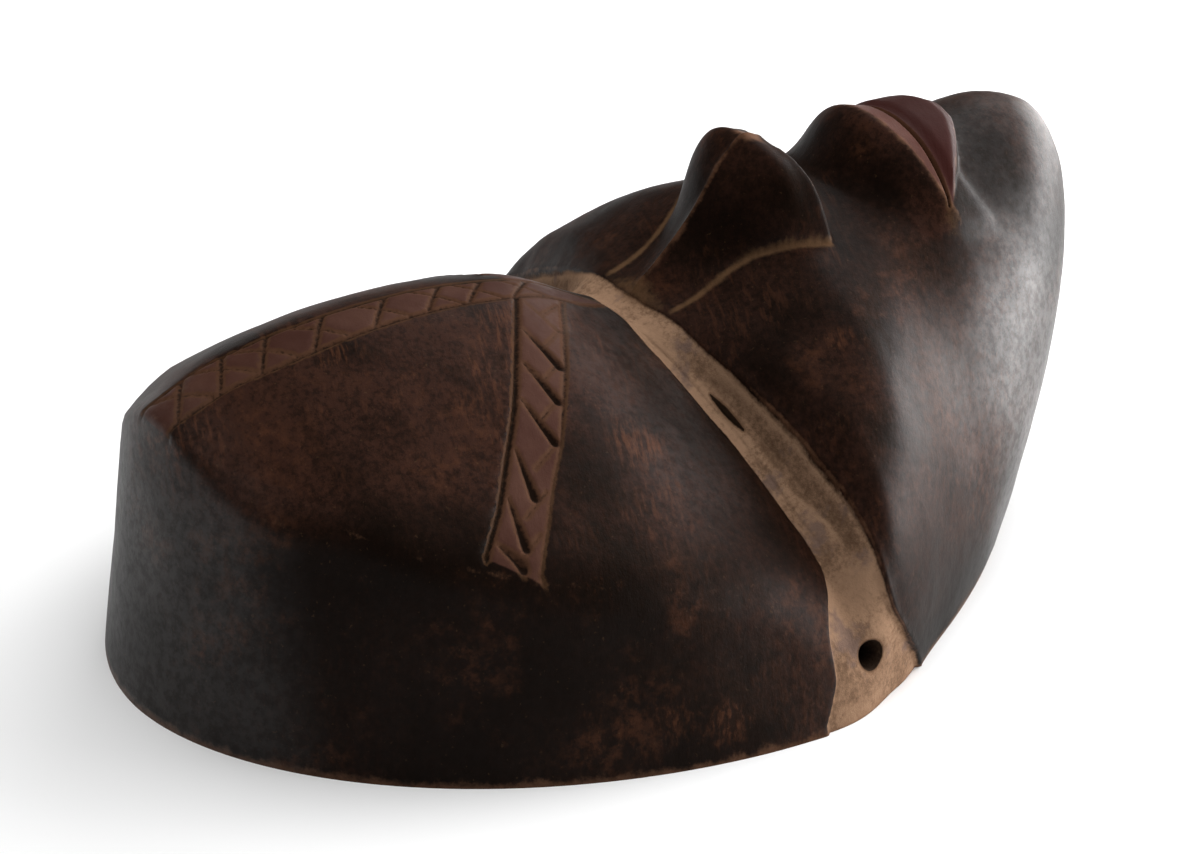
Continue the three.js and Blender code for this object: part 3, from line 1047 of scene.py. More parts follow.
@dataclass
class Carving:
    """All the relief that the knife and use left on the outer skin."""

    form: MaskForm
    bands: RedBands = field(default_factory=RedBands)
    eyes: EyeBand = field(default_factory=EyeBand)
    slit: EyeSlit = field(default_factory=EyeSlit)
    hole: TieHole = field(default_factory=TieHole)
    wall_t: float = 60.0
    face_z: float = 58.0
    band_lip: float = 0.18
    hole_rounding: float = 0.5
    slit_rounding: float = 0.3
    tooling: float = 0.2
    tooling_size: float = 17.0
    grain: float = 0.04
    grain_size: float = 3.5
    patches: tuple[RubbedPatch, ...] = (
        RubbedPatch(-21.0, 62.0, 67.0, 14.0, 0.55),
        RubbedPatch(-29.0, 50.0, 62.0, 12.0, 0.7),
        RubbedPatch(22.0, 58.0, 66.0, 16.0, 0.6),
        RubbedPatch(-42.0, 20.0, 52.0, 10.0, 1.0),
        RubbedPatch(-51.0, 19.0, 47.0, 7.0, 0.8),
        RubbedPatch(38.0, 26.0, 54.0, 11.0, 0.8),
        RubbedPatch(-41.5, -29.0, 63.0, 4.5, 0.9),
        RubbedPatch(-78.6, 22.3, 8.0, 7.0, 0.9),
        RubbedPatch(-74.0, 34.0, 10.0, 10.0, 0.7),
        RubbedPatch(-71.9, 13.6, 29.3, 8.0, 0.45),
        RubbedPatch(-65.5, 44.7, 37.4, 9.0, 0.5),
        RubbedPatch(-70.4, 47.5, 14.0, 9.0, 0.5),
        RubbedPatch(-57.7, 62.4, 41.1, 8.0, 0.45),
        RubbedPatch(-41.1, 85.6, 40.0, 8.0, 0.35),
        RubbedPatch(72.0, 34.0, 22.0, 14.0, 0.6),
        RubbedPatch(44.0, -40.0, 60.0, 8.0, 0.6),
    )

    def needs_detail(self, points: Array) -> Array:
        """Tell which points lie near a band, the nose or the lips.

        Args:
            points: Places in the carver's frame, one row each.

        Returns:
            Whether each point does.
        """
        x, y, z, t = split(points)
        red = self.bands.inside(x, y, z) > -2.2
        pale = self.eyes.inside(t, y, z) > -2.5
        middle = (t < 27.0) & (y < -2.0) & (y > -92.0) & (z > self.face_z)
        nose = middle & (t < self.form.nose_base(y) + 3.5) & (y > -60.0)
        mouth = middle & (y < -56.0) & (y > self.form.lower_lip_edge(t) - 3.0)
        return (red & (z > 38.0)) | pale | nose | mouth

    def needs_fine_detail(self, points: Array) -> Array:
        """Tell which points lie by a cut line of the bands, by their edges or by the mouth.

        Args:
            points: Places in the carver's frame, one row each.

        Returns:
            Whether each point does.
        """
        x, y, z, t = split(points)
        _, nearest = self.bands.cuts(x, y)
        on_band = (nearest < 0.35) & (self.bands.inside(x, y, z) > -1.4) & (z > self.bands.side_end_z)
        brow, cheek = self.eyes.from_edges(t, y, z)
        edge = (np.abs(brow - 0.6) < 1.5) | (np.abs(cheek + 0.4) < 1.4) | (self.slit.beyond(t, y) < 1.0)
        lip_edge = np.abs(y - self.form.lower_lip_edge(t)) < 1.2
        mouth = (self.from_mouth(t, y) < 2.0) | (lip_edge & (t < self.form.lip_half))
        ridge = (t < 1.6) & (y < -3.0) & (y > -36.0)
        edge = edge | (self.eyes.groove(t, y, z) > 0.8)
        return on_band | (edge & (z > 8.0) & (y > -24.0)) | ((mouth | ridge) & (z > self.face_z))

    def needs_finest_detail(self, points: Array) -> Array:
        """Tell which points lie by the cut between the lips."""
        _, y, z, t = split(points)
        return (self.from_mouth(t, y) < 1.3) & (z > 70.0)

    def from_mouth(self, t: Array, y: Array) -> Array:
        """Measure how far points lie from the line of the mouth, seen from above."""
        return np.hypot(y - self.form.mouth_line(t), np.maximum(t - self.form.lip_half + 1.5, 0.0))

    def mouth_cut(self, t: Array, y: Array) -> Array:
        """Depth of the narrow cut between the lips."""
        open_share = smoothstep(t, 25.0, 17.0)
        width = 0.45 + 0.4 * open_share
        return (0.8 + 2.0 * open_share) * smoothstep(self.from_mouth(t, y), width, 0.0)

    def height(self, points: Array) -> Array:
        """Add up the relief over the form.

        Args:
            points: Places on the form, in millimetres.

        Returns:
            How far to move each point outwards.
        """
        x, y, z, t = split(points)
        cut, _ = self.bands.cuts(x, y)
        near = self.bands.inside(x, y, z)
        lip = hump(self.bands.upper_line(x, y) - 1.2, 0.55) * (t > 6.0) * (near > -2.2)
        height = self.band_lip * lip - cut * smoothstep(near, -1.3, -0.6) + self.eyes.height(t, y, z)
        height = height - self.mouth_cut(t, y) * (z > self.face_z)
        height = height - self.hole_rounding * hump(self.hole.beyond(t, y, z), 0.9) * (t > self.wall_t)
        height = height - self.slit_rounding * hump(self.slit.beyond(t, y), 0.8) * (z > 30.0)
        knife = self.tooling * rough(points, self.tooling_size, 3.0)
        knife = knife + self.grain * rough(points, self.grain_size, 8.0)
        return height + knife * smoothstep(z, 0.0, 2.0)

    def worn(self, points: Array) -> Array:
        """Share of rubbing at each point, highest on the edges that stand proud.

        Args:
            points: Places in the carver's frame, one row each.

        Returns:
            Shares from 0 to 1.
        """
        _, y, z, t = split(points)
        form = self.form
        fold = hump(form.above_face(t, y, z) - form.beyond_wall(t, y, z), 1.0) * smoothstep(y, 0.0, 14.0)
        rim = np.exp(-z / 2.2)
        along = form.nose_root_y - y
        ridge = hump(t, form.ridge_width) * smoothstep(along, 1.0, 6.0) * (along < 34.0)
        tip = hump(t, 5.0) * hump(y + 35.5, 3.2)
        drop = form.nose(t, y + 0.8) - form.nose(t, y - 0.8)
        wing = hump(drop - 1.6, 1.3) * (y < -30.0) * (y > -46.0) * (t < 22.0)
        crest = hump(form.from_crest(t, y), 1.2) * (t < form.lip_half + 1.0)
        lower = hump(y - form.lower_lip_edge(t), 0.8) * (t < form.lip_half - 1.0)
        _, cheek = self.eyes.from_edges(t, y, z)
        band = hump(cheek + 0.35, 0.5) * smoothstep(self.eyes.along(t, z), 14.0, 26.0) * (z > 4.0)
        hole = hump(self.hole.beyond(t, y, z) - 0.6, 0.8) * (t > self.wall_t)
        high = np.max([0.62 * ridge, tip, 0.45 * wing, 0.6 * crest, 0.5 * lower], axis=0)
        return np.max([high * (z > self.face_z), 0.42 * fold, 0.8 * rim, 0.6 * band, 0.6 * hole], axis=0)

    def dirty(self, points: Array) -> Array:
        """Share of rusty dirt, along the nose's sides, at its root and in the mouth's corners.

        Args:
            points: Places in the carver's frame, one row each.

        Returns:
            Shares from 0 to 1.
        """
        _, y, z, t = split(points)
        proud = z - self.form.cheek(t, y)
        crease = hump(t - self.form.nose_base(y) - 0.4, 1.05) * smoothstep(proud, 2.4, 0.6)
        crease = crease * smoothstep(y, -6.0, -10.0) * (y > -42.0)
        root = hump(t, 9.0) * hump(y + 7.0, 2.6)
        corner = hump(np.hypot(t - self.form.lip_half, y + 69.5), 2.236)
        return np.max([crease, 0.8 * root, 0.6 * corner], axis=0) * (z > 40.0)

    def from_openings(self, points: Array) -> Array:
        """Measure how far points lie beyond the painted shade in and round the slits and the tie holes."""
        _, y, z, t = split(points)
        hole = np.where(t > self.wall_t, self.hole.beyond(t, y, z) - 0.4, FAR)
        return 2.2 * np.minimum(self.slit.beyond(t, y) - 0.35, hole)

    def polished(self, points: Array) -> Array:
        """Share of polish from handling, highest along the jaw and lowest on the side wall.

        Args:
            points: Places in the carver's frame, one row each.

        Returns:
            Shares from 0 to 1.
        """
        _, y, z, t = split(points)
        crown = 0.35 * smoothstep(y, 90.0, 104.0)
        brow_side = 0.42 * smoothstep(y, 36.0, 4.0) * smoothstep(z, 34.0, 50.0)
        jaw_side = smoothstep(z, 64.0, 34.0) * smoothstep(y, -60.0, -78.0)
        chin_top = smoothstep(y, -92.0, -106.0) * smoothstep(z, 48.0, 68.0)
        jaw = (0.28 * smoothstep(y, -62.0, -84.0) + 0.45 * jaw_side) * (1.0 - 0.6 * chin_top)
        sheen = 0.11 * smoothstep(y, -46.0, -60.0) * smoothstep(z, 70.0, 58.0)
        features = 0.9 * smoothstep(self.form.face(t, y) - self.form.cheek(t, y), 0.5, 3.0)
        cheek = (0.07 + sheen + jaw) * (1.0 - features * (y > -90.0))
        share = np.where(y > self.form.brow(t), 0.04 + crown + brow_side, cheek)
        return np.clip(share, 0.0, 1.0)

    def brown(self, points: Array) -> Array:
        """Share of brown wood that shows through the black stain, by part of the face; on the chin's top it
        is partly a painted reflection.

        Args:
            points: Places in the carver's frame, one row each.

        Returns:
            Shares from 0 to 1.
        """
        _, y, z, t = split(points)
        above_brow = y - self.form.brow(t)
        forehead = smoothstep(z, 41.0, 62.0) * smoothstep(above_brow, 2.0, 16.0)
        brow_side = 0.7 * smoothstep(above_brow, 2.0, 10.0) * smoothstep(z, 33.0, 46.0)
        brow_side = brow_side * smoothstep(y, 62.0, 30.0)
        # lighter brown on the chin's top, partly the wood's tone and partly a painted reflection of the light
        # above it
        chin = 0.75 * smoothstep(y, -84.0, -100.0) * smoothstep(z, 55.0, 75.0)
        face = 0.42 + 0.2 * smoothstep(t, 30.0, 55.0) * smoothstep(above_brow, -8.0, -30.0)
        wall = 0.09 + 0.3 * smoothstep(y, 45.0, 5.0)
        low = np.where(above_brow > 0.0, wall, face * smoothstep(z, 4.0, 24.0))
        upper_lip = smoothstep(y - self.form.mouth_line(t), -0.4, 0.4) * (np.abs(y + 68.0) < 6.0)
        upper_lip = upper_lip * (z > 70.0) * (t < self.form.lip_half + 1.0)
        return np.max([forehead, brow_side, chin, low, upper_lip], axis=0)

    def patched(self, points: Array) -> Array:
        """Mark the orange-brown patches where the stain is rubbed through."""
        return np.max([patch.share(points) for patch in self.patches], axis=0)


@dataclass
class FineMask:
    """The whole mask as one closed mesh: outer skin, hollow and rim, pierced for eyes and cord."""

    form: MaskForm
    hollow: HollowForm
    carving: Carving
    shift_y: float
    outer_rows: int = 52
    hollow_rows: int = 26
    scoop_size: float = 15.0
    scoop_depth: float = 0.5
    scoop_seed: float = 5.0

    def outer_skin(self) -> bmesh.types.BMesh:
        """Draw the outer skin and cut its relief.

        Returns:
            The skin's mesh, open at the rim.
        """
        skin = Skin(self.form.outside, self.outer_rows)
        bm = skin.net()
        skin.refine(bm, self.carving.needs_detail)
        skin.relax(bm)
        skin.refine(bm, self.carving.needs_fine_detail)
        skin.refine(bm, self.carving.needs_finest_detail)
        swell(bm, self.carving.height)
        return bm

    def hollow_skin(self) -> bmesh.types.BMesh:
        """Draw the hollow, with the scoops that the adze left in it.

        Returns:
            The skin's mesh, open at the rim and facing into the hollow.
        """
        bm = Skin(self.hollow.outside, self.hollow_rows, relaxations=2).net()
        swell(bm, self.scoops)
        bmesh.ops.reverse_faces(bm, faces=bm.faces[:])
        return bm

    def scoops(self, points: Array) -> Array:
        """Depth of the adze's scoops, which run out at the rim."""
        marks = np.abs(rough(points, self.scoop_size, self.scoop_seed, 1))
        return self.scoop_depth * marks * smoothstep(points[:, 2], 0.0, 6.0)

    def shell(self) -> bmesh.types.BMesh:
        """Join the two skins by the flat rim that the mask lies on.

        Returns:
            The closed mesh of the unpierced mask.
        """
        bm = self.outer_skin()
        inner = self.hollow_skin()
        carrier = bpy.data.meshes.new("hollow")
        inner.to_mesh(carrier)
        inner.free()
        bm.from_mesh(carrier)
        bpy.data.meshes.remove(carrier)
        open_edges = [e for e in bm.edges if e.is_boundary]
        bmesh.ops.bridge_loops(bm, edges=open_edges)
        bmesh.ops.recalc_face_normals(bm, faces=bm.faces[:])
        many = [f for f in bm.faces if len(f.verts) > 4]
        bmesh.ops.triangulate(bm, faces=many)
        return bm

    def pierced(self, bm: bmesh.types.BMesh) -> bpy.types.Object:
        """Cut the slits and the tie holes through the shell.

        Args:
            bm: The shell, which is used up.

        Returns:
            The finished mesh object, in millimetres.
        """
        mask = mesh_object("carved_mask", bm)
        cutters = []
        for side in Side:
            cutters.append(mesh_object("slit_cutter", self.carving.slit.cutter(side)))
            cutters.append(mesh_object("hole_cutter", self.carving.hole.cutter(side)))
        for cutter in cutters:
            boolean = mask.modifiers.new("pierce", "BOOLEAN")
            boolean.operation = "DIFFERENCE"
            boolean.solver = "EXACT"
            boolean.object = cutter
        depsgraph = bpy.context.evaluated_depsgraph_get()
        result = bpy.data.meshes.new_from_object(mask.evaluated_get(depsgraph))
        mask.modifiers.clear()
        mask.data = result
        for cutter in cutters:
            bpy.data.objects.remove(cutter)
        return mask

    def traces(self, mesh: bpy.types.Mesh) -> None:
        """Write the distances and shares that the materials read.

        Args:
            mesh: The pierced mesh.
        """
        count = len(mesh.vertices)
        points = np.empty(count * 3)
        mesh.vertices.foreach_get("co", points)
        points = points.reshape(-1, 3)
        x, y, z, t = split(points)
        carving, form = self.carving, self.form
        red = carving.bands.inside(x, y, z)
        _, nearest = carving.bands.cuts(x, y)
        nearest = np.where((red > -1.3) & (z > 30.0), nearest, FAR)
        on_face = z > carving.face_z
        mouth = np.where(on_face, carving.from_mouth(t, y) - 0.6, FAR)
        along_lips = np.minimum(-form.from_crest(t, y), y - form.lower_lip_edge(t))
        lips = np.minimum(along_lips, form.lip_half - t)
        values = {
            Trace.RED: red,
            Trace.CLAY: carving.eyes.inside(t, y, z),
            Trace.LIP: np.where(on_face, lips, -FAR),
            Trace.CUT: np.minimum(nearest, mouth),
            Trace.WORN: carving.worn(points),
            Trace.DIRT: carving.dirty(points),
            Trace.BROWN: carving.brown(points),
            Trace.PIERCED: carving.from_openings(points),
            Trace.HOLLOW: np.clip(-self.bend(mesh, points), 0.0, None),
            Trace.POLISH: carving.polished(points),
            Trace.FACET: carving.eyes.far_facet(t, y, z),
            Trace.PATCH: carving.patched(points),
        }
        for trace, value in values.items():
            layer = mesh.attributes.new(trace.value, "FLOAT", "POINT")
            layer.data.foreach_set("value", np.clip(value, -FAR, FAR).astype(np.float32))

    def bend(self, mesh: bpy.types.Mesh, points: Array, spread: int = 6) -> Array:
        """Measure how far each vertex stands out of its surroundings, in millimetres.

        Args:
            mesh: The pierced mesh.
            points: Places in the carver's frame, one row each.
            spread: How many rings of neighbours count as surroundings.

        Returns:
            The heights, negative in a hollow.
        """
        edges = np.empty(len(mesh.edges) * 2, int)
        mesh.edges.foreach_get("vertices", edges)
        a, b = edges.reshape(-1, 2).T
        degree = np.bincount(a, minlength=len(points)) + np.bincount(b, minlength=len(points))
        smooth = points.copy()
        for _ in range(spread):
            total = np.zeros_like(smooth)
            for axis in range(3):
                total[:, axis] = np.bincount(a, smooth[b, axis], len(points))
                total[:, axis] += np.bincount(b, smooth[a, axis], len(points))
            smooth = (smooth + total / np.maximum(degree, 1)[:, None]) / 2.0
        normals = np.empty(len(points) * 3)
        mesh.vertices.foreach_get("normal", normals)
        return np.einsum("ij,ij->i", points - smooth, normals.reshape(-1, 3))

    def build(self) -> bpy.types.Object:
        """Make the mesh, its traces and its place in the frame.

        Returns:
            The finished object.
        """
        mask = self.pierced(self.shell())
        self.traces(mask.data)
        to_frame = Matrix.Scale(MM, 4) @ Matrix.Translation((0.0, self.shift_y, 0.0))
        mask.data.transform(to_frame)
        mask.data.polygons.foreach_set("use_smooth", np.ones(len(mask.data.polygons), bool))
        mask.data.update()
        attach(mask, BODY)
        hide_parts(NODE)
        return mask


def mesh_object(name: str, bm: bmesh.types.BMesh) -> bpy.types.Object:
    """Put a bmesh into the scene as an object of its own, and free it.

    Args:
        name: The object's name.
        bm: Its mesh, which is used up.

    Returns:
        The new object.
    """
    mesh = bpy.data.meshes.new(name)
    bm.to_mesh(mesh)
    bm.free()
    made = bpy.data.objects.new(name, mesh)
    bpy.context.scene.collection.objects.link(made)
    return made


Colour = tuple[float, float, float, float]
Socket = bpy.types.NodeSocket
Source = Socket | float | Colour


@dataclass(frozen=True)
class Clouds:
    """A cloudy field: its clouds to the metre, its finer layers, and how strong those are."""

    per_metre: float
    layers: float
    strength: float = 0.55


class Tree:
    """A small hand for wiring shader nodes."""

    def __init__(self, tree: bpy.types.NodeTree) -> None:
        """Hold the node tree that is wired."""
        self.tree = tree

    def node(self, kind: str, inputs: dict[str | int, Source] | None = None, **settings) -> bpy.types.Node:
        """Add a node.

        Args:
            kind: The node's type without its leading "ShaderNode".
            inputs: What goes into its sockets, each a plain value or another node's output.
            settings: The node's own settings.

        Returns:
            The new node.
        """
        made = self.tree.nodes.new("ShaderNode" + kind)
        for name, value in settings.items():
            setattr(made, name, value)
        return self.feed(made, inputs or {})

    def feed(self, node: bpy.types.Node, inputs: dict[str | int, Source]) -> bpy.types.Node:
        """Set or link a node's sockets, and hand the node back.

        Args:
            node: The node.
            inputs: What goes into its sockets.

        Returns:
            The same node.
        """
        for key, value in inputs.items():
            if isinstance(value, bpy.types.NodeSocket):
                self.tree.links.new(value, node.inputs[key])
            else:
                node.inputs[key].default_value = value
        return node

    def math(self, operation: str, a: Source, b: Source) -> Socket:
        """Combine two values."""
        return self.node("Math", {0: a, 1: b}, operation=operation).outputs[0]

    def times(self, first: Source, *factors: Source) -> Socket:
        """Multiply values."""
        for factor in factors:
            first = self.math("MULTIPLY", first, factor)
        return first

    def plus(self, a: Source, b: Source) -> Socket:
        """Add two values."""
        return self.math("ADD", a, b)

    def minus(self, a: Source, b: Source) -> Socket:
        """Take the second value from the first."""
        return self.math("SUBTRACT", a, b)

    def larger(self, a: Source, b: Source) -> Socket:
        """Take the larger of two values."""
        return self.math("MAXIMUM", a, b)

    def ramp(self, value: Source, low: float, high: float, start: float = 0.0, end: float = 1.0) -> Socket:
        """Turn a value into a smooth rise from start at low to end at high."""
        inputs = {0: value, 1: low, 2: high, 3: start, 4: end}
        return self.node("MapRange", inputs, interpolation_type="SMOOTHSTEP").outputs[0]

    def mix(self, share: Source, a: Source, b: Source) -> Socket:
        """Blend two colours."""
        return self.node("Mix", {0: share, 6: a, 7: b}, data_type="RGBA").outputs[2]

    def blend(self, share: Source, a: Source, b: Source) -> Socket:
        """Blend two values."""
        return self.node("Mix", {0: share, 2: a, 3: b}, data_type="FLOAT").outputs[0]

    def noise(self, clouds: Clouds, vector: Socket | None = None) -> Socket:
        """Read a cloudy field, on Object coordinates where no other pattern is given."""
        inputs = {"Scale": clouds.per_metre, "Detail": clouds.layers, "Roughness": clouds.strength}
        inputs["Vector"] = self.place() if vector is None else vector
        return self.node("TexNoise", inputs).outputs[0]

    def place(self) -> Socket:
        """Object coordinates, in metres."""
        return self.node("TexCoord").outputs["Object"]

    def stretched(self, vector: Socket, scale: tuple[float, float, float]) -> Socket:
        """Stretch a pattern, to this many of its clouds a metre along each axis."""
        return self.node("Mapping", {"Vector": vector, "Scale": scale}).outputs[0]

    def trace(self, trace: Trace) -> Socket:
        """Read a distance or a share that the mesh carries."""
        return self.node("Attribute", attribute_name=trace.value).outputs["Fac"]

    def group(self, tree: bpy.types.NodeTree, inputs: dict[str, Source]) -> bpy.types.Node:
        """Place a node group."""
        made = self.tree.nodes.new("ShaderNodeGroup")
        made.node_tree = tree
        return self.feed(made, inputs)


class GroupMaker:
    """Builds a shader node group from its named inputs and outputs."""

    def __init__(self, name: str, inputs: dict[str, float], outputs: list[str]) -> None:
        """Make the empty group.

        Args:
            name: The group's name.
            inputs: Its inputs, all plain values, with their defaults.
            outputs: Its outputs, all plain values.
        """
        self.group = bpy.data.node_groups.new(name, "ShaderNodeTree")
        for key, value in inputs.items():
            socket = self.group.interface.new_socket(key, in_out="INPUT", socket_type="NodeSocketFloat")
            socket.default_value = value
        for key in outputs:
            self.group.interface.new_socket(key, in_out="OUTPUT", socket_type="NodeSocketFloat")
        self.tree = Tree(self.group)
        self.inputs = self.group.nodes.new("NodeGroupInput").outputs
        self.end = self.group.nodes.new("NodeGroupOutput")

    def finish(self, outputs: dict[str, Socket]) -> bpy.types.NodeTree:
        """Wire the outputs and hand over the group."""
        for key, value in outputs.items():
            self.group.links.new(value, self.end.inputs[key])
        return self.group


def new_material(name: str) -> tuple[bpy.types.Material, Tree, bpy.types.Node]:
    """Start a material.

    Args:
        name: Its name.

    Returns:
        The material, its tree and its shader.
    """
    made = bpy.data.materials.new(name)
    made.use_nodes = True
    return made, Tree(made.node_tree), made.node_tree.nodes["Principled BSDF"]


@dataclass
class Effects:
    """The effects that several finishes share, each a node group."""

    slow_waver: Clouds = Clouds(260.0, 2.0)
    quick_waver: Clouds = Clouds(1400.0, 2.0)
    streaks: Clouds = Clouds(1.0, 4.0, 0.62)
    streak_fineness: tuple[float, float, float] = (70.0, 900.0, 420.0)
    pores: Clouds = Clouds(1.0, 2.0)
    pore_fineness: tuple[float, float, float] = (600.0, 3200.0, 2400.0)
    stain_clouds: Clouds = Clouds(34.0, 5.0, 0.6)
    grime_specks: Clouds = Clouds(900.0, 3.0, 0.7)
    ragged: bpy.types.NodeTree = field(init=False)
    rubbing: bpy.types.NodeTree = field(init=False)
    grime_and_shade: bpy.types.NodeTree = field(init=False)

    def __post_init__(self) -> None:
        """Build the groups once."""
        self.ragged = self.ragged_edge()
        self.rubbing = self.hand_rubbing()
        self.grime_and_shade = self.grime_and_painted_shade()

    def ragged_edge(self) -> bpy.types.NodeTree:
        """Turn a distance from a painted edge into a hand-painted mask.

        Returns:
            The node group.
        """
        maker = GroupMaker("ragged_edge", {"Distance": 0.0, "Waver": 0.3, "Softness": 0.3}, ["Mask"])
        tree = maker.tree
        slow = tree.times(tree.noise(self.slow_waver), 1.3)
        quick = tree.times(tree.noise(self.quick_waver), 0.7)
        wander = tree.times(tree.minus(tree.plus(slow, quick), 1.0), maker.inputs["Waver"])
        edge = tree.plus(maker.inputs["Distance"], wander)
        share = tree.math("DIVIDE", edge, maker.inputs["Softness"])
        return maker.finish({"Mask": tree.ramp(share, -0.5, 0.5)})

    def hand_rubbing(self) -> bpy.types.NodeTree:
        """Long fine strokes of rubbing and the cloudy tone of old stain.

        Returns:
            The node group.
        """
        maker = GroupMaker("hand_rubbing", {"Turn": 0.0}, ["Streaks", "Clouds", "Pores"])
        tree = maker.tree
        inputs = {"Vector": tree.place(), "Angle": maker.inputs["Turn"]}
        turned = tree.node("VectorRotate", inputs, rotation_type="Z_AXIS").outputs[0]
        streaks = tree.noise(self.streaks, tree.stretched(turned, self.streak_fineness))
        clouds = tree.noise(self.stain_clouds)
        pores = tree.noise(self.pores, tree.stretched(turned, self.pore_fineness))
        return maker.finish({"Streaks": streaks, "Clouds": clouds, "Pores": pores})

    def grime_and_painted_shade(self) -> bpy.types.NodeTree:
        """Masks for darkening deep in the cuts and painted shade inside the slits and tie holes, for a fringe
        along their edges, and for darkening in concave places.

        Returns:
            The node group.
        """
        maker = GroupMaker("grime_and_painted_shade", {"Cut": 9.0, "Hollow": 0.0, "Reach": 0.8}, ["Deep", "Fringe"])
        tree = maker.tree
        wander = tree.times(tree.minus(tree.noise(self.grime_specks), 0.5), 1.1)
        near = tree.plus(maker.inputs["Cut"], wander)
        deep = tree.ramp(near, -0.1, -0.7)
        fringe = tree.ramp(tree.math("DIVIDE", near, maker.inputs["Reach"]), 1.0, 0.0)
        hollow = tree.ramp(tree.plus(maker.inputs["Hollow"], tree.times(wander, 0.06)), 0.05, 0.22)
        return maker.finish({"Deep": deep, "Fringe": tree.larger(fringe, hollow)})


@dataclass(frozen=True)
class StainedWood:
    """The outer skin: dark stained hardwood with red bands and lips and a pale eye band."""

    black: Colour = (0.0040, 0.0022, 0.0013, 1.0)
    brown: Colour = (0.0270, 0.0108, 0.0066, 1.0)
    rust: Colour = (0.082, 0.030, 0.014, 1.0)
    bare: Colour = (0.120, 0.058, 0.032, 1.0)
    dust: Colour = (0.150, 0.082, 0.040, 1.0)
    red: Colour = (0.040, 0.0155, 0.0108, 1.0)
    red_light: Colour = (0.066, 0.030, 0.0205, 1.0)
    clay: Colour = (0.262, 0.160, 0.100, 1.0)
    # dirt mottling on the pale band, and painted shade on the groove's cheek-side facet
    clay_dirt_and_shade: Colour = (0.092, 0.052, 0.031, 1.0)
    clay_purple: Colour = (0.115, 0.076, 0.063, 1.0)
    lip: Colour = (0.030, 0.0085, 0.0068, 1.0)
    lip_light: Colour = (0.078, 0.033, 0.025, 1.0)
    # near black: darker deep in the cuts, and painted shade inside the slits and tie holes
    grime_and_shade: Colour = (0.0050, 0.0030, 0.0020, 1.0)
    grime_rusty: Colour = (0.070, 0.034, 0.016, 1.0)
    gloss: float = 0.03
    polish_roughness: float = 0.46
    clay_roughness: float = 0.88
    red_waver: float = 0.3
    clay_waver: float = 0.35
    clay_softness: float = 0.4
    fine_tone: Clouds = Clouds(700.0, 5.0, 0.75)
    rusty_places: Clouds = Clouds(30.0, 4.0, 0.6)
    smudges: Clouds = Clouds(36.0, 6.0, 0.68)
    smudge_grain: Clouds = Clouds(330.0, 4.0, 0.7)
    worn_edges: Clouds = Clouds(240.0, 4.0, 0.7)
    dirt_grain: Clouds = Clouds(420.0, 4.0, 0.7)
    dust_specks: Clouds = Clouds(1100.0, 2.0, 0.5)
    polish_specks: Clouds = Clouds(480.0, 5.0, 0.72)
    clay_mottle: Clouds = Clouds(900.0, 5.0, 0.72)
    clay_patches: Clouds = Clouds(95.0, 4.0, 0.65)
    purple_places: Clouds = Clouds(70.0, 4.0, 0.7)
    crust: Clouds = Clouds(1500.0, 4.0, 0.7)
    tool_facets: Clouds = Clouds(90.0, 2.0, 0.5)

    def material(self, effects: Effects) -> bpy.types.Material:
        """Wire the finish.

        Args:
            effects: The shared node groups.

        Returns:
            The material.
        """
        made, tree, shader = new_material("stained_wood")
        rubbed = tree.group(effects.rubbing, {"Turn": 0.35}).outputs
        near = tree.math("MINIMUM", tree.trace(Trace.CUT), tree.trace(Trace.PIERCED))
        grime_and_shade = tree.group(effects.grime_and_shade, {"Cut": near, "Reach": 0.6}).outputs
        red = self.area(tree, effects, Trace.RED, self.red_waver, self.red_waver)
        clay = self.area(tree, effects, Trace.CLAY, self.clay_waver, self.clay_softness)
        lips = self.area(tree, effects, Trace.LIP, self.red_waver, self.red_waver)
        worn = self.uneven(tree, Trace.WORN, self.worn_edges, 0.35, 0.85)
        worn = tree.times(worn, tree.minus(0.72, tree.times(clay, 0.3)))
        dirt = tree.times(self.uneven(tree, Trace.DIRT, self.dirt_grain, 0.15, 1.1), 0.5)
        fringe = tree.times(grime_and_shade["Fringe"], 0.5)
        # the last coat darkens deep in the cuts and paints shade inside the slits and tie holes
        coats = (
            (red, self.red_paint(tree, rubbed)), (lips, self.lip_paint(tree, rubbed)),
            (clay, self.clay_wash(tree)), (worn, self.bare), (dirt, self.dust),
            (fringe, self.grime_rusty), (tree.times(grime_and_shade["Deep"], 0.9), self.grime_and_shade),
        )
        colour = self.wood(tree, rubbed)
        for share, coat in coats:
            colour = tree.mix(share, colour, coat)
        matt = tree.larger(clay, tree.times(tree.plus(fringe, dirt), 0.8))
        dull = tree.plus(tree.plus(0.34, tree.times(rubbed["Clouds"], 0.26)), tree.times(red, 0.14))
        polish = tree.times(
            tree.trace(Trace.POLISH), tree.minus(1.0, matt), tree.ramp(rubbed["Clouds"], 0.3, 0.7, 0.7, 1.3),
            tree.ramp(tree.noise(self.polish_specks), 0.36, 0.62, 0.72, 1.2),
        )
        tree.feed(shader, {
            "Base Color": colour, "Roughness": tree.blend(matt, dull, self.clay_roughness),
            "Specular IOR Level": self.gloss, "Coat Weight": polish,
            "Coat Roughness": self.polish_roughness, "Normal": self.relief(tree, rubbed, clay),
        })
        return made

    def area(self, tree: Tree, effects: Effects, trace: Trace, waver: float, softness: float) -> Socket:
        """Mask of one painted area."""
        inputs = {"Distance": tree.trace(trace), "Waver": waver, "Softness": softness}
        return tree.group(effects.ragged, inputs).outputs["Mask"]

    def uneven(self, tree: Tree, trace: Trace, clouds: Clouds, low: float, high: float) -> Socket:
        """Turn a share that the mesh carries into a broken, cloudy mask."""
        cloud = tree.times(tree.minus(tree.noise(clouds), 0.5), 1.1)
        return tree.ramp(tree.plus(tree.trace(trace), cloud), low, high)

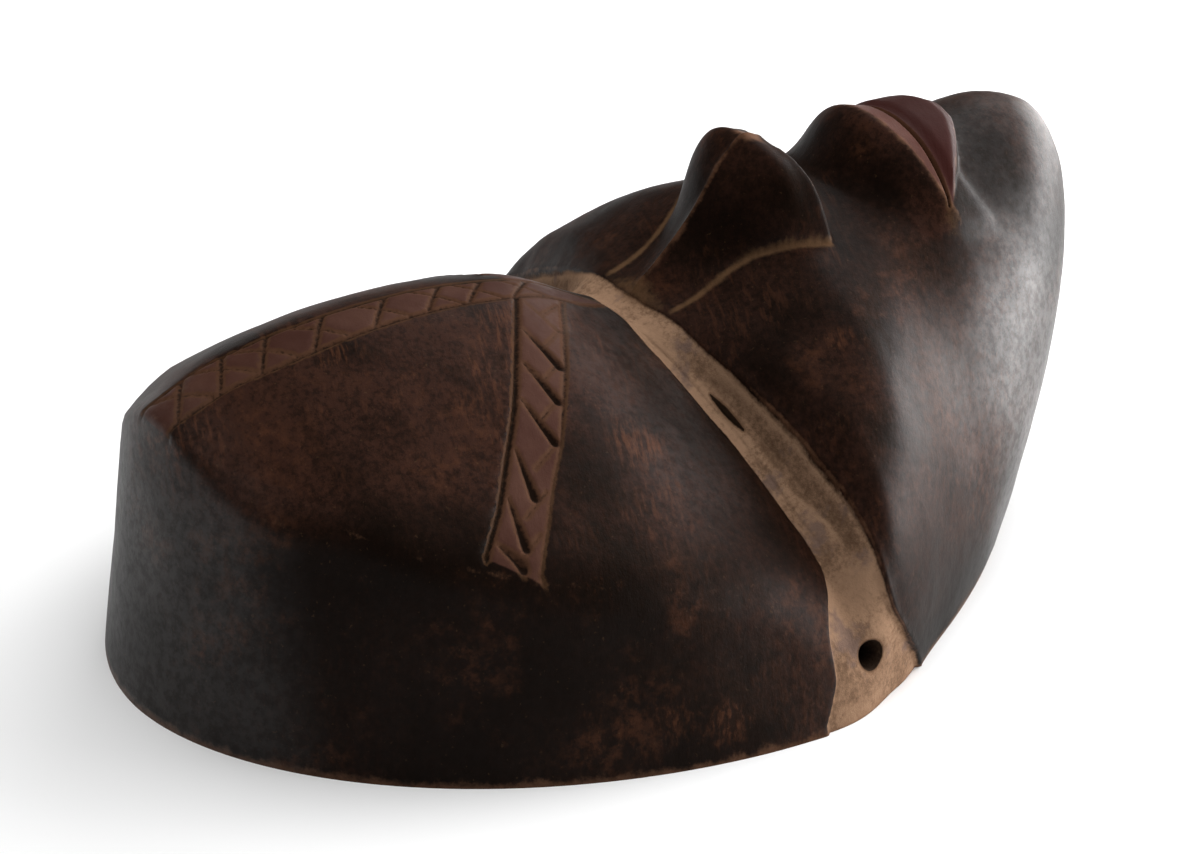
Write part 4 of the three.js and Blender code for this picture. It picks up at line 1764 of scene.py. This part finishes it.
    def wood(self, tree: Tree, rubbed: bpy.types.bpy_prop_collection) -> Socket:
        """Colour of the bare stained wood.

        Args:
            tree: The material's tree.
            rubbed: What the hand rubbing group puts out.

        Returns:
            The colour.
        """
        brown = tree.trace(Trace.BROWN)
        tone = tree.times(tree.ramp(rubbed["Clouds"], 0.34, 0.62, 0.2, 1.1), brown)
        fine = tree.ramp(tree.noise(self.fine_tone), 0.36, 0.64, 0.45, 1.55)
        colour = tree.mix(tree.times(tone, fine), self.black, self.brown)
        streak = tree.ramp(rubbed["Streaks"], 0.47, 0.66)
        rusty = tree.times(streak, tree.ramp(tree.noise(self.rusty_places), 0.47, 0.62), brown, 0.5)
        patch = self.uneven(tree, Trace.PATCH, self.smudge_grain, 0.35, 1.15)
        patch = tree.times(patch, tree.ramp(rubbed["Streaks"], 0.42, 0.62, 0.1, 0.8))
        smudge = tree.ramp(tree.noise(self.smudges), 0.5, 0.68)
        smudge = tree.times(smudge, tree.ramp(tree.noise(self.smudge_grain), 0.4, 0.66, 0.0, 0.4))
        colour = tree.mix(tree.larger(tree.larger(rusty, smudge), patch), colour, self.rust)
        specks = tree.ramp(tree.noise(self.dust_specks), 0.66, 0.78)
        return tree.mix(tree.times(specks, 0.12), colour, self.dust)

    def red_paint(self, tree: Tree, rubbed: bpy.types.bpy_prop_collection) -> Socket:
        """Colour of the red bands."""
        return tree.mix(tree.ramp(rubbed["Clouds"], 0.35, 0.7), self.red, self.red_light)

    def lip_paint(self, tree: Tree, rubbed: bpy.types.bpy_prop_collection) -> Socket:
        """Colour of the lips."""
        upper = tree.ramp(tree.trace(Trace.BROWN), 0.6, 1.0)
        light = tree.times(tree.ramp(rubbed["Clouds"], 0.3, 0.7, 0.4, 1.0), upper)
        return tree.mix(light, self.lip, self.lip_light)

    def clay_wash(self, tree: Tree) -> Socket:
        """Colour of the pale band, mottled with dirt, darker on the groove's cheek-side facet as painted
        shade, and worn to a purplish grey.

        Args:
            tree: The material's tree.

        Returns:
            The colour.
        """
        mottle = tree.times(tree.noise(self.clay_mottle), 0.5)
        both = tree.plus(mottle, tree.times(tree.noise(self.clay_patches), 0.6))
        colour = tree.mix(tree.ramp(both, 0.52, 0.72, 0.0, 0.8), self.clay, self.clay_dirt_and_shade)
        # painted shade on the groove's cheek-side facet, with real stains down the wall and a foot that is
        # darker towards the rim
        shaded = tree.times(tree.trace(Trace.FACET), tree.ramp(both, 0.42, 0.64, 0.3, 0.8))
        colour = tree.mix(shaded, colour, self.clay_dirt_and_shade)
        purple = tree.ramp(tree.noise(self.purple_places), 0.55, 0.66)
        return tree.mix(tree.times(purple, 0.75), colour, self.clay_purple)

    def relief(self, tree: Tree, rubbed: bpy.types.bpy_prop_collection, clay: Socket) -> Socket:
        """Fine relief of the rubbed wood and the crusty clay.

        Args:
            tree: The material's tree.
            rubbed: What the hand rubbing group puts out.
            clay: Mask of the eye band.

        Returns:
            The normal.
        """
        crust = tree.noise(self.crust)
        facets = tree.times(tree.noise(self.tool_facets), 1.5)
        grain = tree.plus(rubbed["Streaks"], tree.times(crust, 0.9))
        wood = tree.plus(tree.times(grain, 0.3), facets)
        height = tree.blend(clay, wood, crust)
        return tree.node("Bump", {"Strength": 0.35, "Distance": 0.0006, "Height": height}).outputs[0]


@dataclass(frozen=True)
class BareWood:
    """The hollow and the rim: bare wood, darkened by handling."""

    # painted shade inside the slits and tie holes
    black: Colour = (0.003, 0.002, 0.0015, 1.0)
    dark: Colour = (0.032, 0.017, 0.010, 1.0)
    light: Colour = (0.110, 0.060, 0.032, 1.0)
    roughness: float = 0.72

    def material(self, effects: Effects) -> bpy.types.Material:
        """Wire the finish.

        Args:
            effects: The shared node groups.

        Returns:
            The material.
        """
        made, tree, shader = new_material("bare_wood")
        rubbed = tree.group(effects.rubbing, {"Turn": 1.45}).outputs
        inputs = {"Cut": tree.trace(Trace.PIERCED), "Hollow": tree.trace(Trace.HOLLOW), "Reach": 0.7}
        grime_and_shade = tree.group(effects.grime_and_shade, inputs).outputs
        tone = tree.times(tree.plus(rubbed["Clouds"], rubbed["Streaks"]), 0.5)
        colour = tree.mix(tree.ramp(tone, 0.38, 0.64), self.dark, self.light)
        # darker in concave places and round the openings
        colour = tree.mix(tree.times(grime_and_shade["Fringe"], 0.5), colour, self.dark)
        # painted shade inside the slits and tie holes
        colour = tree.mix(grime_and_shade["Deep"], colour, self.black)
        height = tree.plus(rubbed["Streaks"], tree.times(rubbed["Pores"], 0.5))
        bump = tree.node("Bump", {"Strength": 0.5, "Distance": 0.0006, "Height": height}).outputs[0]
        tree.feed(shader, {"Base Color": colour, "Roughness": self.roughness, "Normal": bump})
        return made


@dataclass(frozen=True)
class Viewpoint:
    """The photograph's camera, found from how the rim and the keel lie in it."""

    azimuth: float = 236.0
    elevation: float = 26.0
    roll: float = 1.0
    distance: float = 0.8
    aim: tuple[float, float, float] = (0.0, 0.001133, 0.0338)
    image_width: int = 1200
    pixels_per_mm: float = 4.749
    sensor: float = 36.0

    def build(self, shift_y: float) -> bpy.types.Object:
        """Place the camera.

        Args:
            shift_y: How far the mask is moved from the carver's frame, in millimetres.

        Returns:
            The camera object.
        """
        turn, tilt = math.radians(self.azimuth), math.radians(self.elevation)
        back = Vector((math.sin(turn) * math.cos(tilt), -math.cos(turn) * math.cos(tilt), math.sin(tilt)))
        right = Vector((math.cos(turn), math.sin(turn), 0.0))
        up = back.cross(right)
        roll = math.radians(self.roll)
        leaned_right = math.cos(roll) * right + math.sin(roll) * up
        leaned_up = math.cos(roll) * up - math.sin(roll) * right
        data = bpy.data.cameras.new("photo_camera")
        data.sensor_width = self.sensor
        data.lens = self.sensor * self.pixels_per_mm / MM * self.distance / self.image_width
        data.clip_start = 0.01
        made = bpy.data.objects.new("photo_camera", data)
        made.matrix_world = Matrix((leaned_right, leaned_up, back)).transposed().to_4x4()
        made.location = Vector(self.aim) + Vector((0.0, shift_y * MM, 0.0)) + back * self.distance
        bpy.context.scene.collection.objects.link(made)
        bpy.context.scene.camera = made
        return made


@dataclass(frozen=True)
class Lamp:
    """A soft rectangular light that looks at the mask."""

    name: str
    place: tuple[float, float, float]
    size: tuple[float, float]
    power: float
    mirrored: bool = True

    def build(self) -> bpy.types.Object:
        """Hang the lamp.

        Returns:
            The lamp's object.
        """
        data = bpy.data.lights.new(self.name, "AREA")
        data.shape = "RECTANGLE"
        data.size, data.size_y = self.size
        data.energy = self.power
        made = bpy.data.objects.new(self.name, data)
        made.visible_glossy = self.mirrored
        made.location = self.place
        aim = Vector((0.0, 0.0, 0.04)) - made.location
        made.rotation_euler = aim.to_track_quat("-Z", "Y").to_euler()
        bpy.context.scene.collection.objects.link(made)
        return made


@dataclass(frozen=True)
class Studio:
    """A plain pale floor and plain soft light."""

    floor_size: float = 14.0
    floor_colour: Colour = (0.86, 0.86, 0.86, 1.0)
    sky_colour: Colour = (1.0, 1.0, 1.0, 1.0)
    sky_strength: float = 0.15
    lamps: tuple[Lamp, ...] = (
        Lamp("beyond_chin", (-0.15, -0.85, 0.12), (1.5, 0.36), 30.0),
        Lamp("above_chin", (0.25, -0.75, 0.85), (1.2, 0.5), 6.0),
        Lamp("overhead", (0.1, 0.1, 2.2), (3.0, 3.0), 62.0, mirrored=False),
    )

    def build(self) -> None:
        """Lay the floor and light the stage."""
        bm = bmesh.new()
        bmesh.ops.create_grid(bm, x_segments=1, y_segments=1, size=self.floor_size / 2.0)
        floor = mesh_object("floor", bm)
        paper, tree, shader = new_material("pale_paper")
        tree.feed(shader, {"Base Color": self.floor_colour, "Roughness": 0.9, "Specular IOR Level": 0.1})
        floor.data.materials.append(paper)
        world = bpy.data.worlds.new("studio")
        world.use_nodes = True
        sky = world.node_tree.nodes["Background"]
        sky.inputs["Color"].default_value = self.sky_colour
        sky.inputs["Strength"].default_value = self.sky_strength
        bpy.context.scene.world = world
        bpy.context.scene.view_settings.view_transform = "Standard"
        for lamp in self.lamps:
            lamp.build()


def dress(mask: bpy.types.Object, hollow: HollowForm, shift_y: float) -> None:
    """Give the outer skin and the hollow their finishes.

    Args:
        mask: The finished mesh.
        hollow: The form that its back was carved to.
        shift_y: How far the mesh is moved from the carver's frame, in millimetres.
    """
    effects = Effects()
    mask.data.materials.clear()
    mask.data.materials.append(StainedWood().material(effects))
    mask.data.materials.append(BareWood().material(effects))
    centres = np.empty(len(mask.data.polygons) * 3)
    mask.data.polygons.foreach_get("center", centres)
    centres = centres.reshape(-1, 3) / MM - np.array([0.0, shift_y, 0.0])
    inner = (hollow.outside(centres) < 2.0) | (centres[:, 2] < 0.05)
    mask.data.polygons.foreach_set("material_index", inner.astype(np.int32))


def main() -> None:
    """Carve the mask, dress it, and set up the stage."""
    form = MaskForm()
    _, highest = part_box(NODE)
    shift_y = highest.y / MM - float(form.rim_reach(np.array(0.0)))
    piece = FineMask(form, HollowForm(form), Carving(form), shift_y)
    mask = piece.build()
    dress(mask, piece.hollow, shift_y)
    log.info("mask: %d faces, moved by %.2f mm", len(mask.data.polygons), shift_y)
    Viewpoint().build(shift_y)
    Studio().build()


if __name__ == "__main__":
    logging.basicConfig(level=logging.INFO, format="%(message)s")
    main()
